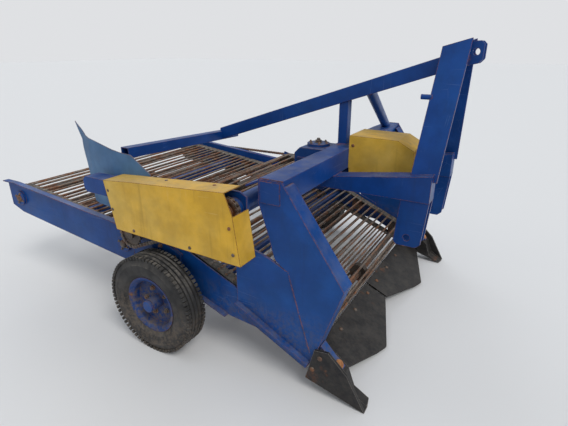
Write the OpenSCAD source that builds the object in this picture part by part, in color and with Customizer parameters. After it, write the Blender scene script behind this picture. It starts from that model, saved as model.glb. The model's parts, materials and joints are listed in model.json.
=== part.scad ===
/* [Overall] */
// Width over the two side plates
body_w = 1400; // [1200:10:1600]
// Distance from the share tips back to the middle of the machine
tip_x = 984; // [900:1:1050]
// Thickness of the side plates
plate_t = 8; // [6:1:12]
// Thickness of the web side walls
wall_t = 5; // [4:1:8]

/* [Front beam] */
// Side of the square front beam
beam = 90; // [70:5:110]
// Wall of the front beam
beam_wall = 6; // [4:1:10]
// Beam centre behind the share tips
beam_s = 400; // [380:5:420]
// Height of the beam centre
beam_z = 780; // [760:5:800]

/* [Hitch] */
// Distance between the centres of the two lower hitch points
hitch_spread = 430; // [410:10:520]
// Gap between the ears of a lower hitch point
ear_gap = 48; // [44:1:60]
// Thickness of an ear
ear_t = 12; // [10:1:16]
// Height of the lower hitch holes
low_pin_z = 520; // [515:1:540]
// Radius of the lower hitch holes
low_pin_r = 14.35; // [11:0.05:19]
// Height from the lower hitch holes to the top link hole
mast_h = 715; // [700:5:720]
// Radius of the top link hole
top_pin_r = 12.85; // [10:0.05:16]
// Width of a mast leg, front to back
leg_w = 104; // [90:2:120]
// Thickness of a mast leg
leg_t = 12; // [8:1:16]

/* [Brace] */
// Side of the long brace
brace_side = 60; // [50:5:70]
// Wall of the brace and the tie tube
tube_wall = 4; // [3:1:6]
// Side of the tie tube over the web
tie_side = 45; // [40:5:50]

/* [Webs] */
// Distance from rod to rod
rod_pitch = 40; // [35:1:60]
// Diameter of a rod
rod_d = 11; // [8:1:12]
// Thickness of a web belt
belt_t = 13; // [13:0.5:16]
// Width of a web belt
belt_w = 50; // [40:5:70]
// Gap between the web and its side walls
web_gap = 12; // [8:1:20]
// Radius of the front rollers of both webs
roller_r = 45; // [40:1:50]
// Radius of the drive sprockets of the main web
main_drive_r = 60; // [55:1:65]
// Radius of the drive sprockets of the cascade web
cascade_drive_r = 55; // [50:1:60]
// Diameter of the web shafts
shaft_d = 35; // [30:1:40]

/* [Drive] */
// Diameter of the cross drive tube
drive_tube_d = 76; // [60:2:90]
// Pitch radius of the upper chain sprocket
chain_r1 = 40; // [36:1:42]
// Pitch radius of the lower chain sprocket
chain_r2 = 52; // [48:1:56]
// Width of the roller chain
chain_w = 16; // [12:1:20]
// Diameter of the splined input shaft
spline_d = 34.9; // [34.9:0.1:35]
// Depth of the chain guard
guard_d = 97; // [90:1:105]
// Thickness of the guard sheets
guard_t = 3; // [2:0.5:4]

/* [Wheels] */
// Radius of the gauge wheel tyres
tyre_r = 225; // [200:5:230]
// Width of the tyres
tyre_w = 110; // [90:5:120]
// Radius of the rim
rim_r = 125; // [110:5:140]
// Axle distance behind the share tips
axle_s = 930; // [900:10:960]
// Diameter of the stub axles
axle_d = 34; // [28:1:40]

/* [Hidden] */
$fn = 48;
blue = [0.03, 0.2, 0.5];
yellow = [0.86, 0.7, 0.15];
dark = [0.1, 0.1, 0.11];
rusty = [0.42, 0.3, 0.24];
steel = [0.5, 0.5, 0.5];
half_w = body_w / 2;
plate_in = half_w - plate_t;
wall_in = plate_in - wall_t;
web_half = wall_in - web_gap;
gap = 0.3;

// Places in side view are pairs: distance behind the share tips, height above the ground
main_front = [300, 165];
main_rear = [1085, 490];
cascade_front = [1200, 400];
cascade_rear = [2000, 485];
drive_at = [552, 700];
beam_front = beam_s - beam / 2;
beam_rear = beam_s + beam / 2;
beam_top = beam_z + beam / 2;
beam_low = beam_z - beam / 2;
top_pin_z = low_pin_z + mast_h;
tail_s = 2105;

// Distance along the machine from a distance behind the tips
function sx(s) = tip_x - s;
// A side view point from a pair
function sp(p) = [sx(p[0]), p[1]];

// A flat plate standing lengthwise: its side view outline, its right face and its thickness
module slab(outline, y0, t) {
    translate([0, y0 + t, 0]) rotate([90, 0, 0]) linear_extrude(t) polygon([for (p = outline) sp(p)]);
}

// A round bar or disc across the machine at a side view point
module cross_bar(p, r, y0, y1) {
    translate([sx(p[0]), y1, p[1]]) rotate([90, 0, 0]) cylinder(r = r, h = y1 - y0);
}

// A box by its ends behind the tips, its sides and its heights
module block(s, y, z) {
    translate([sx(s[1]), y[0], z[0]]) cube([s[1] - s[0], y[1] - y[0], z[1] - z[0]]);
}

module left_of() {
    mirror([0, 1, 0]) children();
}

// Square tube between two points in space, turned so that one side stays level
module square_tube(a, b, side, wall) {
    d = b - a;
    len = norm(d);
    translate(a) rotate([0, 0, atan2(d[1], d[0])]) rotate([0, -asin(d[2] / len), 0]) difference() {
        translate([0, -side / 2, -side / 2]) cube([len, side, side]);
        if (wall > 0) translate([-1, -side / 2 + wall, -side / 2 + wall])
            cube([len + 2, side - 2 * wall, side - 2 * wall]);
    }
}

// Frame

module front_beam() color(blue) difference() {
    block([beam_front, beam_rear], [-plate_in, plate_in], [beam_low, beam_top]);
    block([beam_front + beam_wall, beam_rear - beam_wall], [-plate_in - 1, plate_in + 1],
        [beam_low + beam_wall, beam_top - beam_wall]);
}

apron_t = 4;
apron_outline = [[beam_rear, beam_top - 12], [beam_rear, beam_top - 4], [beam_rear + 68, beam_top - 34],
    [beam_rear + 66, beam_top - 42]];

module beam_apron() color(blue) for (side = [0, 1]) mirror([0, side, 0])
    slab(apron_outline, gear_plate + 4, plate_in - gear_plate - 8);

// Side plates, from the beam down to the shares
knee = [108, 470];
plate_outline = [[beam_front, beam_top], knee, [217, 145], [250, 90], [560, 242], [560, 450],
    [520, 540], [470, beam_top - 10], [beam_rear + 4, beam_top]];
flange_w = 66;
flange_t = 8;
flange_line = [[beam_front - 12, beam_top - 22], [knee[0], knee[1]], [217, 145]];
bearing_ear = [[505, 560], [500, 748], [530, 764], [600, 764], [612, 740], [612, 660], [585, 600]];

module side_plate() {
    slab(plate_outline, -half_w, plate_t);
    slab([for (p = flange_line) p, for (i = [2:-1:0]) flange_line[i] + [flange_t, 3]], -plate_in, flange_w);
    slab([[286, 108], [560, 242], [560, 250], [286, 116]], -half_w - 14, 14);
    block([beam_front + 5, beam_rear - 5], [-half_w - 4, -half_w], [beam_low + 5, beam_top - 5]);
    cross_bar(main_front, 38, -half_w - 12, -half_w);
}

module side_plate_right() color(blue) difference() {
    union() {
        side_plate();
        slab(bearing_ear, -half_w, plate_t);
    }
    cross_bar(drive_at, drive_tube_d / 2 + gap, -half_w - 1, -plate_in + 1);
}

module side_plate_left() color(blue) left_of() side_plate();

seam_s = 1150;
wall_outline = [[450, 190], [450, 300], [1010, 532], [1140, 566], [seam_s, 548], [seam_s, 335],
    [1085, 372], [620, 205]];
rail_outline = [[seam_s + gap, 335], [seam_s + gap, 498], [2000, 574], [tail_s, 574], [tail_s, 430],
    [2020, 400], [1215, 312]];
// Height of the lower edge of the wall of the main web
function wall_low(s) = 205 + (s - 620) * (372 - 205) / (1085 - 620);
bearing_r = 38;
bearing_t = 14;

// Bolted bearing on the outer face of a wall, with the shaft's way through it
module bearing_at(p) cross_bar(p, bearing_r, -plate_in - bearing_t, -plate_in);

module shaft_way(p) cross_bar(p, shaft_d / 2 + gap, -plate_in - bearing_t - 1, -wall_in + 1);

module side_wall() difference() {
    union() {
        slab(wall_outline, -plate_in, wall_t);
        bearing_at(main_rear);
        for (s = [[620, axle_at - 88], [axle_at + 50, 1085]])
            slab([[s[0], wall_low(s[0])], [s[1], wall_low(s[1])], [s[1], wall_low(s[1]) + 5],
                [s[0], wall_low(s[0]) + 5]], -plate_in - 24, 24);
    }
    shaft_way(main_rear);
}

module side_wall_right() color(blue) side_wall();
module side_wall_left() color(blue) left_of() side_wall();

module rear_rail() difference() {
    union() {
        slab(rail_outline, -plate_in, wall_t);
        for (p = [cascade_front, cascade_rear]) bearing_at(p);
        slab([[1200, 503], [2000, 574], [tail_s, 574], [tail_s, 569], [2000, 569], [1200, 498]],
            -plate_in - 26, 26);
        block([1108, 1178], [-wall_in, -wall_in + 5], [442, 494]);
    }
    for (p = [cascade_front, cascade_rear]) shaft_way(p);
}

module rear_rail_right() color(blue) rear_rail();
module rear_rail_left() color(blue) left_of() rear_rail();

// Square tubes that tie the two walls between the upper and lower runs of each web
tie_box = 50;
tie_box_wall = 4;
tie_corners = [[690, 306], [1575, 415]];

module wall_tie(s, z) difference() {
    block([s, s + tie_box], [-wall_in, wall_in], [z, z + tie_box]);
    block([s + tie_box_wall, s + tie_box - tie_box_wall], [-wall_in - 1, wall_in + 1],
        [z + tie_box_wall, z + tie_box - tie_box_wall]);
}

module wall_ties() color(blue) for (p = tie_corners) wall_tie(p[0], p[1]);

// Hitch

arm_w = ear_gap + 2 * ear_t + 8;
arm_y = hitch_spread / 2;
arm_wall = 6;
arm_front = -50;
arm_low = beam_low - 55;
arm_top = beam_low + 55;
// The arm is deepest at the ears and runs on under the beam
arm_outline = [[arm_front, arm_low], [arm_front, arm_top], [beam_front, beam_low], [beam_rear, beam_low],
    [beam_rear, arm_low]];
arm_hollow = [[arm_front + arm_wall, arm_low + arm_wall], [arm_front + arm_wall, arm_top - arm_wall - 1],
    [beam_front, beam_low - arm_wall], [beam_rear + 1, beam_low - arm_wall],
    [beam_rear + 1, arm_low + arm_wall]];
ear_w = 112;
ear_lean = 18;
ear_round = 16;
ear_low = low_pin_z - 38;
ear_pin_s = arm_front + ear_w / 2 + ear_lean;
ear_outline = [[arm_front, arm_low], [arm_front + ear_lean - 2, ear_low + ear_round],
    [arm_front + ear_lean + ear_round, ear_low], [arm_front + ear_lean + ear_w - ear_round, ear_low],
    [arm_front + ear_lean + ear_w - 2, ear_low + ear_round], [arm_front + ear_w, arm_low]];

module hitch_arm() {
    difference() {
        slab(arm_outline, -arm_y - arm_w / 2, arm_w);
        slab(arm_hollow, -arm_y - arm_w / 2 + arm_wall, arm_w - 2 * arm_wall);
    }
    for (side = [-1, 1]) difference() {
        slab(ear_outline, -arm_y + side * (ear_gap + ear_t) / 2 - ear_t / 2, ear_t);
        cross_bar([ear_pin_s, low_pin_z], low_pin_r, -arm_y - arm_w, -arm_y + arm_w);
    }
}

module hitch_arm_right() color(blue) hitch_arm();
module hitch_arm_left() color(blue) left_of() hitch_arm();

// The mast legs lean inwards and forwards from the arms to the head
leg_front = -66;
leg_forward = 30;
leg_foot_y = arm_y + 1;
leg_top_y = 58;
leg_top_z = top_pin_z + 48;
leg_rise = leg_top_z - arm_top;
leg_run = leg_foot_y - leg_top_y;
leg_len = norm([leg_rise, leg_run]);
leg_lean = atan2(leg_run, leg_rise);
leg_cut = 32;

// Turns a leg's own frame, rear edge and foot at the origin, into its place on the right
module in_leg() translate([sx(leg_front + leg_w), -leg_foot_y, arm_top]) rotate([-leg_lean, 0, 0]) children();

module mast_leg() difference() {
    in_leg() rotate([90, 0, 0]) translate([0, 0, -leg_t / 2]) linear_extrude(leg_t)
        polygon([[-2, -leg_cut], [leg_w - 2, -leg_cut], [leg_w + leg_forward, leg_len],
            [leg_forward, leg_len - leg_cut]]);
    slab(arm_outline, -half_w, half_w);
}

peg_z = 1070;
peg_y = leg_top_y + (leg_top_z - peg_z) * leg_run / leg_rise;
peg_s = leg_front + leg_w - leg_forward * (peg_z - arm_top) / leg_rise;
peg_r = 10;
peg_len = 44;

module mast_leg_right() color(blue) {
    mast_leg();
    translate([sx(peg_s + peg_len - peg_r), -peg_y, peg_z]) rotate([0, 90, 0])
        cylinder(r = peg_r, h = peg_len);
}

module mast_leg_left() color(blue) left_of() mast_leg();

head_s = -46;
head_t = 12;
head_half = 140;
lug_gap = 52;
lug_t = 15;
lug_nose = 26;
// The pin passes in front of the legs
top_pin_s = leg_front - leg_forward - 15;

// What lies outboard of the inner face of the right mast leg
module leg_side() in_leg() translate([-60, leg_t / 2 - 200, -40]) cube([leg_w + 170, 200, leg_len + 120]);

module mast_head() color(blue) difference() {
    union() {
        block([head_s, head_s + head_t], [-head_half, head_half], [top_pin_z - 92, top_pin_z + 24]);
        for (side = [-1, 1]) slab([[head_s, top_pin_z + 24], [head_s - 10, top_pin_z + 36],
            [top_pin_s - lug_nose + 12, top_pin_z + 40], [top_pin_s - lug_nose, top_pin_z + 28],
            [top_pin_s - lug_nose, top_pin_z - 26], [top_pin_s - lug_nose + 14, top_pin_z - 42],
            [head_s, top_pin_z - 60]], side * (lug_gap + lug_t) / 2 - lug_t / 2, lug_t);
    }
    leg_side();
    left_of() leg_side();
    cross_bar([top_pin_s, top_pin_z], top_pin_r, -80, 80);
}

// Brace over the web

brace_end = 1140;
brace_high = [sx(head_s + head_t), 0, top_pin_z - 34];
brace_low = [sx(brace_end), 0, 806];
tie_right = [sx(brace_end - 18), -half_w - 20, 838];
tie_left = [sx(brace_end + 12), 130, 790];

module tie_solid(wall) square_tube(tie_right, tie_left, tie_side, wall);

module tie_tube() color(blue) difference() {
    tie_solid(tube_wall);
    block([brace_end - 240, brace_end + 160], [-half_w - 100, -plate_in + gap], [700, 1000]);
}

brace_way = (brace_low - brace_high) / norm(brace_low - brace_high);

module brace_solid(wall) square_tube(brace_high - 40 * brace_way, brace_low, brace_side, wall);

module top_brace() color(blue) difference() {
    brace_solid(tube_wall);
    tie_solid(0);
    block([brace_end - 6, brace_end + 160], [-200, 200], [700, 1000]);
    block([head_s + head_t - 200, head_s + head_t], [-100, 100], [top_pin_z - 150, top_pin_z + 150]);
}

brace_fall = atan2(brace_high[2] - brace_low[2], brace_high[0] - brace_low[0]);

// Height of the middle of the brace at a distance behind the tips
function brace_z(s) = brace_high[2] - (brace_high[0] - sx(s)) * tan(brace_fall);

post_s = 420;
post_side = 44;
post_cut_s = 600;

// The post under the brace, cut off along the underside of the brace
module brace_post() color(blue) difference() {
    block([post_s - post_side / 2, post_s + post_side / 2], [-post_side / 2, post_side / 2],
        [beam_top, brace_high[2]]);
    translate([sx(post_cut_s), -post_side, brace_z(post_cut_s) - brace_side / 2 / cos(brace_fall)])
        rotate([0, -brace_fall, 0]) cube([500, 2 * post_side, 300]);
}

strut_d = 48;
strut_s = 316;
strut_high = [sx(strut_s), 10, brace_z(strut_s)];
strut_low = [sx(beam_s), 590, beam_top];

module strut_axis(d) {
    v = strut_low - strut_high;
    translate(strut_high) rotate([0, 0, atan2(v[1], v[0])]) rotate([0, acos(v[2] / norm(v)), 0])
        translate([0, 0, -60]) cylinder(d = d, h = norm(v) + 120);
}

module brace_strut() color(blue) difference() {
    strut_axis(strut_d);
    block([strut_s - 300, strut_s + 300], [brace_side / 2 - 400, brace_side / 2], [700, 1300]);
    block([beam_s - 200, beam_s + 200], [300, 900], [600, beam_top]);
}

// Right deflector and what hangs on it

deflector_outline = [[985, 532], [985, 762], [1085, 832], [1150, 836], [1420, 876], [1545, 925],
    [1478, 850], [1452, 740], [1420, 560], [1200, 560], [1185, 532]];
deflector_plan = [[985, 0], [1200, 0], [1380, 26], [1560, 92]];
deflector_t = 4;

module deflector() color(blue) intersection() {
    slab(deflector_outline, -half_w - 10, 200);
    translate([0, -plate_in, 0]) linear_extrude(1000) polygon([
        for (p = deflector_plan) [sx(p[0]), p[1] - deflector_t],
        for (i = [3:-1:0]) [sx(deflector_plan[i][0]), deflector_plan[i][1]]]);
}

stub_front = 1147;
stub_side = 70;
stub_y = -half_w - 93;
stub_z = 668;
stub_wall = 5;

// Short square tube outside the deflector that carries the rear of the chain guard
module guard_bracket() color(blue) {
    difference() {
        slab([[stub_front, stub_z], [stub_front, stub_z + stub_side], [1272, stub_z + stub_side],
            [1288, stub_z + stub_side - 16], [1288, stub_z + 16], [1272, stub_z]], stub_y, stub_side);
        block([stub_front + stub_wall, 1300], [stub_y + stub_wall, stub_y + stub_side - stub_wall],
            [stub_z + stub_wall, stub_z + stub_side - stub_wall]);
    }
    block([1158, 1196], [stub_y + stub_side, -plate_in - deflector_t], [stub_z + 8, stub_z + stub_side - 8]);
}

// Drive line

gear_s = drive_at[0];
shaft_z = drive_at[1];
gear_half = 85;
gear_plate = 118;
gear_low = 604;
gear_top = 800;
gear_rear = gear_s + 88;
gear_flange = 20;
gear_boss = 12;
cap_r = 55;
neck_r = 32;
neck_front = 316;
collar_r = 52;
collar_t = 14;
journal_r = 20;
shaft_rear = 370;

// A round piece lengthwise: from a distance behind the tips forwards, at the height of the input shaft
module lengthwise(s, r, h) translate([sx(s), 0, shaft_z]) rotate([0, 90, 0]) cylinder(r = r, h = h);

module gearbox() color(blue) {
    difference() {
        union() {
            slab([[beam_rear + gear_flange, gear_low + 22], [beam_rear + gear_flange, gear_top],
                [gear_rear - 28, gear_top], [gear_rear, gear_top - 28], [gear_rear, gear_low + 28],
                [gear_rear - 28, gear_low], [beam_rear + gear_flange + 22, gear_low]],
                -gear_half, 2 * gear_half);
            block([beam_rear, beam_rear + gear_flange], [-gear_plate, gear_plate],
                [gear_low + 36, beam_top - 8]);
            translate([sx(gear_s), 0, gear_top]) cylinder(r = cap_r, h = 14);
            lengthwise(beam_rear + gear_flange, neck_r, beam_rear + gear_flange - neck_front + 11);
            lengthwise(neck_front, collar_r, collar_t);
            cross_bar(drive_at, 60, gear_half, gear_half + gear_boss);
            cross_bar(drive_at, 60, -gear_half - gear_boss, -gear_half);
        }
        lengthwise(shaft_rear, journal_r + 0.05, 80);
    }
    for (z = [shaft_z - 50, shaft_z + 50]) for (y = [-gear_half - 8, gear_half])
        block([gear_s - 60, gear_s + 70], [y, y + 8], [z - 4, z + 4]);
}

spline_cut = 4.2;

module spline_section() difference() {
    circle(d = spline_d);
    for (i = [0:5]) rotate(i * 60 + 30) translate([spline_d / 2 - 2.6, -spline_cut])
        square([6, 2 * spline_cut]);
}

// Lengths along the input shaft: its journal, its splines, its locking groove and its tip
journal_len = 75;
spline_len = 70;
groove_len = 8;

module input_shaft() color(steel) translate([sx(shaft_rear - 1), 0, shaft_z]) rotate([0, 90, 0]) {
    cylinder(r = journal_r, h = journal_len);
    translate([0, 0, journal_len]) linear_extrude(spline_len) spline_section();
    translate([0, 0, journal_len + spline_len]) cylinder(d = spline_d - 7, h = groove_len);
    translate([0, 0, journal_len + spline_len + groove_len]) linear_extrude(22) spline_section();
}

pto_half = 96;
hood_top = 884;
hood_front = 65;
hood_low = 640;
hood_kink = [[136, hood_top - 2], [hood_front, 843]];
hood_outline = [[beam_front, hood_low], [beam_front, hood_top], hood_kink[0], hood_kink[1],
    [hood_front, 700], [hood_front + 60, hood_low]];

module pto_guard() color(yellow) difference() {
    slab(hood_outline, -pto_half, 2 * pto_half);
    slab([[beam_front - guard_t, hood_low - 40], [beam_front - guard_t, hood_top - guard_t],
        hood_kink[0] + [1, -guard_t], hood_kink[1] + [guard_t, -guard_t], hood_kink[1] - [10, 10],
        [hood_front - 10, hood_low - 40]], -pto_half + guard_t, 2 * pto_half - 2 * guard_t);
    block([beam_front - guard_t - 1, beam_front + 1], [-pto_half - 1, pto_half + 1],
        [hood_low - 40, beam_low]);
}

module drive_tube() color(blue) {
    cross_bar(drive_at, drive_tube_d / 2, -half_w - 16, -gear_half - gear_boss);
    cross_bar(drive_at, drive_tube_d / 2 + 14, -plate_in, -plate_in + 10);
}

chain_y = -half_w - 44;
drive_teeth = 13;
driven_teeth = 16;
sprocket_t = 8;
hub_r = 24;

module sprocket(p, r, teeth, y0, t) {
    translate([sx(p[0]), y0 + t, p[1]]) rotate([90, 0, 0]) linear_extrude(t) difference() {
        circle(r = r + 3);
        for (i = [0:teeth - 1]) rotate(i * 360 / teeth) translate([r + 5, 0]) circle(r = 6.5, $fn = 16);
    }
}

module drive_sprocket() color(rusty) {
    sprocket(drive_at, chain_r1, drive_teeth, chain_y - sprocket_t / 2, sprocket_t);
    cross_bar(drive_at, hub_r, chain_y + sprocket_t / 2, -half_w - 16);
    cross_bar(drive_at, hub_r, chain_y - 14, chain_y - sprocket_t / 2);
}

// Facets of the arc of a loop at each end
arc_steps = 12;

// Closed outline round two circles, off beyond them, its facets tangent to the true loop
function loop_outline(a, b, ra, rb, off) =
    let (d = norm(b - a), tilt = asin((rb - ra) / d), run = atan2(b[1] - a[1], b[0] - a[0]),
        up = run + 90 + tilt, low = run - 90 - tilt,
        step_b = (180 + 2 * tilt) / arc_steps, step_a = (180 - 2 * tilt) / arc_steps)
    [for (i = [0.5:arc_steps - 0.5]) b + (rb + off) / cos(step_b / 2)
            * [cos(up - i * step_b), sin(up - i * step_b)],
        for (i = [0.5:arc_steps - 0.5]) a + (ra + off) / cos(step_a / 2)
            * [cos(low - i * step_a), sin(low - i * step_a)]];

// A closed band round two circles, across the machine from y0 to y1
module band(pa, pb, ra, rb, inner, outer, y0, y1) {
    translate([0, y1, 0]) rotate([90, 0, 0]) linear_extrude(y1 - y0) difference() {
        polygon(loop_outline(sp(pa), sp(pb), ra, rb, outer));
        polygon(loop_outline(sp(pa), sp(pb), ra, rb, inner));
    }
}

// Point at a share u of the way round the loop of radii ra and rb
function loop_point(a, b, ra, rb, u) =
    let (d = norm(b - a), tilt = asin((rb - ra) / d), run = atan2(b[1] - a[1], b[0] - a[0]),
        straight = sqrt(d * d - (rb - ra) * (rb - ra)),
        arc_b = PI * rb * (180 + 2 * tilt) / 180, arc_a = PI * ra * (180 - 2 * tilt) / 180,
        w = u * (2 * straight + arc_a + arc_b),
        up = run + 90 + tilt, low = run - 90 - tilt)
    w < straight ? a + ra * [cos(up), sin(up)] + w * [cos(up - 90), sin(up - 90)]
    : w < straight + arc_b ? let (t = up - (w - straight) / rb * 180 / PI) b + rb * [cos(t), sin(t)]
    : w < 2 * straight + arc_b ? b + rb * [cos(low), sin(low)]
        + (w - straight - arc_b) * [cos(low - 90), sin(low - 90)]
    : let (t = low - (w - 2 * straight - arc_b) / ra * 180 / PI) a + ra * [cos(t), sin(t)];

function loop_len(a, b, ra, rb) =
    let (d = norm(b - a), tilt = asin((rb - ra) / d))
    2 * sqrt(d * d - (rb - ra) * (rb - ra)) + PI * rb * (180 + 2 * tilt) / 180
        + PI * ra * (180 - 2 * tilt) / 180;

// A rod web: belts round two rollers and a rod at every pitch
module web(pa, pb, ra, rb) {
    a = sp(pa);
    b = sp(pb);
    mid = belt_t / 2;
    count = round(loop_len(a, b, ra + mid, rb + mid) / rod_pitch);
    for (y = [-web_half, web_half - belt_w]) band(pa, pb, ra, rb, 0, belt_t, y, y + belt_w);
    for (i = [0:count - 1]) {
        p = loop_point(a, b, ra + mid, rb + mid, i / count);
        translate([p[0], web_half - belt_w / 2, p[1]]) rotate([90, 0, 0])
            cylinder(d = rod_d, h = 2 * web_half - belt_w, $fn = 6);
    }
}

module main_web() color(rusty) web(main_front, main_rear, roller_r, main_drive_r);
module cascade_web() color(rusty) web(cascade_front, cascade_rear, roller_r, cascade_drive_r);

// A shaft across the machine with three wheels inside the belts
module web_shaft(p, r) {
    cross_bar(p, shaft_d / 2, -wall_in, wall_in);
    for (y = [-web_half + belt_w / 2, 0, web_half - belt_w / 2])
        cross_bar(p, r - gap, y - 16, y + 16);
}

module front_rollers() color(dark) {
    for (p = [main_front, cascade_front]) web_shaft(p, roller_r);
    cross_bar(main_front, shaft_d / 2, -plate_in, plate_in);
}

cascade_chain_r = 40;
cascade_chain_y = half_w + 30;

module main_drive() color(rusty) {
    web_shaft(main_rear, main_drive_r);
    cross_bar(main_rear, shaft_d / 2, chain_y - 14, cascade_chain_y + 14);
    sprocket(main_rear, chain_r2, driven_teeth, chain_y - sprocket_t / 2, sprocket_t);
    sprocket(main_rear, cascade_chain_r, drive_teeth, cascade_chain_y - sprocket_t / 2, sprocket_t);
}

module cascade_drive() color(rusty) {
    web_shaft(cascade_rear, cascade_drive_r);
    cross_bar(cascade_rear, shaft_d / 2, 0, cascade_chain_y + 14);
    sprocket(cascade_rear, cascade_chain_r, drive_teeth, cascade_chain_y - sprocket_t / 2, sprocket_t);
}

chain_inner = 3.4;
chain_outer = 11;

module cascade_chain() color(rusty)
    band(main_rear, cascade_rear, cascade_chain_r, cascade_chain_r, chain_inner, chain_outer,
        cascade_chain_y - chain_w / 2, cascade_chain_y + chain_w / 2);

module drive_chain() color(rusty)
    band(drive_at, main_rear, chain_r1, chain_r2, chain_inner, chain_outer, chain_y - chain_w / 2,
        chain_y + chain_w / 2);

// Height of the middle of a web at a distance behind the tips
function web_mid(a, b, s) = a[1] + (s - a[0]) / (b[0] - a[0]) * (b[1] - a[1]);

support_bar_r = 12;
support_rise = 14;
main_supports = [560, 830];
main_support_r = 36;
cascade_supports = [1450, 1740];
cascade_support_r = 32;

module support_roller(s, z, r) {
    cross_bar([s, z], support_bar_r, -wall_in, wall_in);
    for (y = [-web_half + belt_w / 2, 0, web_half - belt_w / 2]) cross_bar([s, z], r, y - 14, y + 14);
}

module support_rollers() color(dark) {
    for (s = main_supports)
        support_roller(s, web_mid(main_front, main_rear, s) + support_rise, main_support_r);
    for (s = cascade_supports)
        support_roller(s, web_mid(cascade_front, cascade_rear, s) + support_rise, cascade_support_r);
}

// Chain guard

guard_out = half_w + guard_d;
guard_rear_top = [1145, 742];
guard_front_top = [525, 789];
guard_nose = [492, 705];
guard_front_low = [467, 518];
guard_rear_low = [1105, 531];
guard_outline = [guard_rear_top, guard_front_top, guard_nose, guard_front_low, guard_rear_low];
guard_fall = (guard_front_top[1] - guard_rear_top[1]) / (guard_rear_top[0] - guard_front_top[0]);
top_sheet = [guard_rear_top - [0, guard_t], guard_front_top - [0, guard_t]];

// A strip of sheet along a line from a to b in side view, thick upwards
module sheet_strip(a, b, t, y0, w) slab([a, b, b + t, a + t], y0, w);

module chain_guard() color(yellow) {
    slab(guard_outline, -guard_out - guard_t, guard_t);
    sheet_strip(top_sheet[0], top_sheet[1], [0, guard_t], -guard_out, guard_d - gap);
    sheet_strip(top_sheet[0] + 4 * [-1, guard_fall], top_sheet[0] + 155 * [-1, guard_fall], [0, guard_t],
        -half_w - gap - 1, 4.4);
    sheet_strip(guard_rear_top - [27, 142], guard_rear_top, [-guard_t, 0], -guard_out, 76);
    sheet_strip(guard_rear_low, guard_front_low, [0, guard_t], -guard_out, 16);
    sheet_strip(guard_front_low, guard_nose, [guard_t, 0], -guard_out, guard_d - gap);
}

// Shares

blade_front = [60, 12];
blade_rear = [256, 103];
blade_t = 12;
blade_rise = (blade_rear[1] - blade_front[1]) / (blade_rear[0] - blade_front[0]);
// Height of the underside of the blades at a distance behind the tips
function blade_z(s) = blade_front[1] + blade_rise * (s - blade_front[0]);
point_w = 66;
bar_down = [17, -36];
bar_top = [[205, blade_z(205)], [246, blade_z(246)]];

module share_bar() color(dark) slab([bar_top[0], bar_top[1], bar_top[1] + bar_down, bar_top[0] + bar_down],
    -half_w + point_w, 2 * (half_w - point_w));

module share_blade() color(dark) intersection() {
    slab([blade_front - [22, 0], blade_front, blade_rear, blade_rear + [0, blade_t]], 0, half_w);
    translate([sx(blade_rear[0]), 0, 0]) linear_extrude(200) polygon([[0, 8], [0, half_w - point_w - 10],
        [110, half_w - point_w - 10], [blade_rear[0] - 38, half_w / 2 - 30], [110, 8]]);
}

module share_left() share_blade();
module share_right() left_of() share_blade();

cheek_t = 12;
cheek = [[0, 0], [276, 74], [208, 200], [152, 208], [76, 136]];
shoe = [[0, 0], [232, 72], [228, 100], [200, 138], [150, 158], [96, 112], [70, 40]];
nose = [[0, 0], [20, 0], [120, 36], [104, 64]];

// Pointed shoe in front of a side plate: a cheek outside it, a wedge and a narrower nose
module point_solid() {
    slab(cheek, -half_w - cheek_t, cheek_t);
    difference() {
        slab(shoe, -half_w, point_w);
        slab(plate_outline, -half_w - 1, plate_t + 1 + gap);
        slab([[206, 138], [250, 60], [280, 60], [280, 200], [206, 200]], -half_w + 1, flange_w + 10);
        translate([sx(0), -half_w + 26, -1]) rotate([0, 0, 103]) translate([0, -60, 0]) cube([130, 60, 250]);
    }
    slab(nose, -half_w - 6, 32);
}

module point_right() color(dark) point_solid();
module point_left() color(dark) left_of() point_solid();

// Wheels

wheel_in = half_w + 30;
axle_z = tyre_r;
// Room between a tyre and the drive chain over it
tyre_room = 15;
chain_lean = atan2(drive_at[1] - main_rear[1], main_rear[0] - drive_at[0]);
// The axle goes further forward where a larger tyre would come near the chain
axle_at = min(axle_s, main_rear[0] - (tyre_r + chain_r2 + chain_outer + tyre_room
    - (main_rear[1] - tyre_r) * cos(chain_lean)) / sin(chain_lean));

hub_half = 46;
wheel_mid = wheel_in + tyre_w / 2;
bracket_t = 14;

module wheel_bracket() {
    slab([[axle_at - 84, 430], [axle_at + 46, 488], [axle_at + 46, axle_z], [axle_at + 30, axle_z - 34],
        [axle_at - 30, axle_z - 34], [axle_at - 46, axle_z]], -plate_in - bracket_t, bracket_t);
    cross_bar([axle_at, axle_z], 28, -wheel_mid + hub_half + 1, -plate_in - bracket_t);
    cross_bar([axle_at, axle_z], axle_d / 2, -wheel_mid - hub_half - 12, -wheel_mid + hub_half + 1);
    cross_bar([axle_at, axle_z], 26, -wheel_mid - hub_half - 12, -wheel_mid - hub_half - 1);
}

module wheel_bracket_right() color(blue) wheel_bracket();
module wheel_bracket_left() color(blue) left_of() wheel_bracket();

rim_half = 42;

// Half section of the rim: a hub with its bore, a dished disc and a well with two lips
module rim_section() polygon([[axle_d / 2 + 0.05, -hub_half], [30, -hub_half], [30, -14], [rim_r - 24, -8],
    [rim_r - 18, -30], [rim_r - 4, -rim_half], [rim_r + 4, -rim_half], [rim_r + 4, -rim_half + 4],
    [rim_r - 4, -rim_half + 6], [rim_r - 14, -26], [rim_r - 14, 26], [rim_r - 4, rim_half - 6],
    [rim_r + 4, rim_half - 4], [rim_r + 4, rim_half], [rim_r - 4, rim_half], [rim_r - 18, 30],
    [rim_r - 20, 0], [30, -6], [30, hub_half], [axle_d / 2 + 0.05, hub_half]]);

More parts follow.
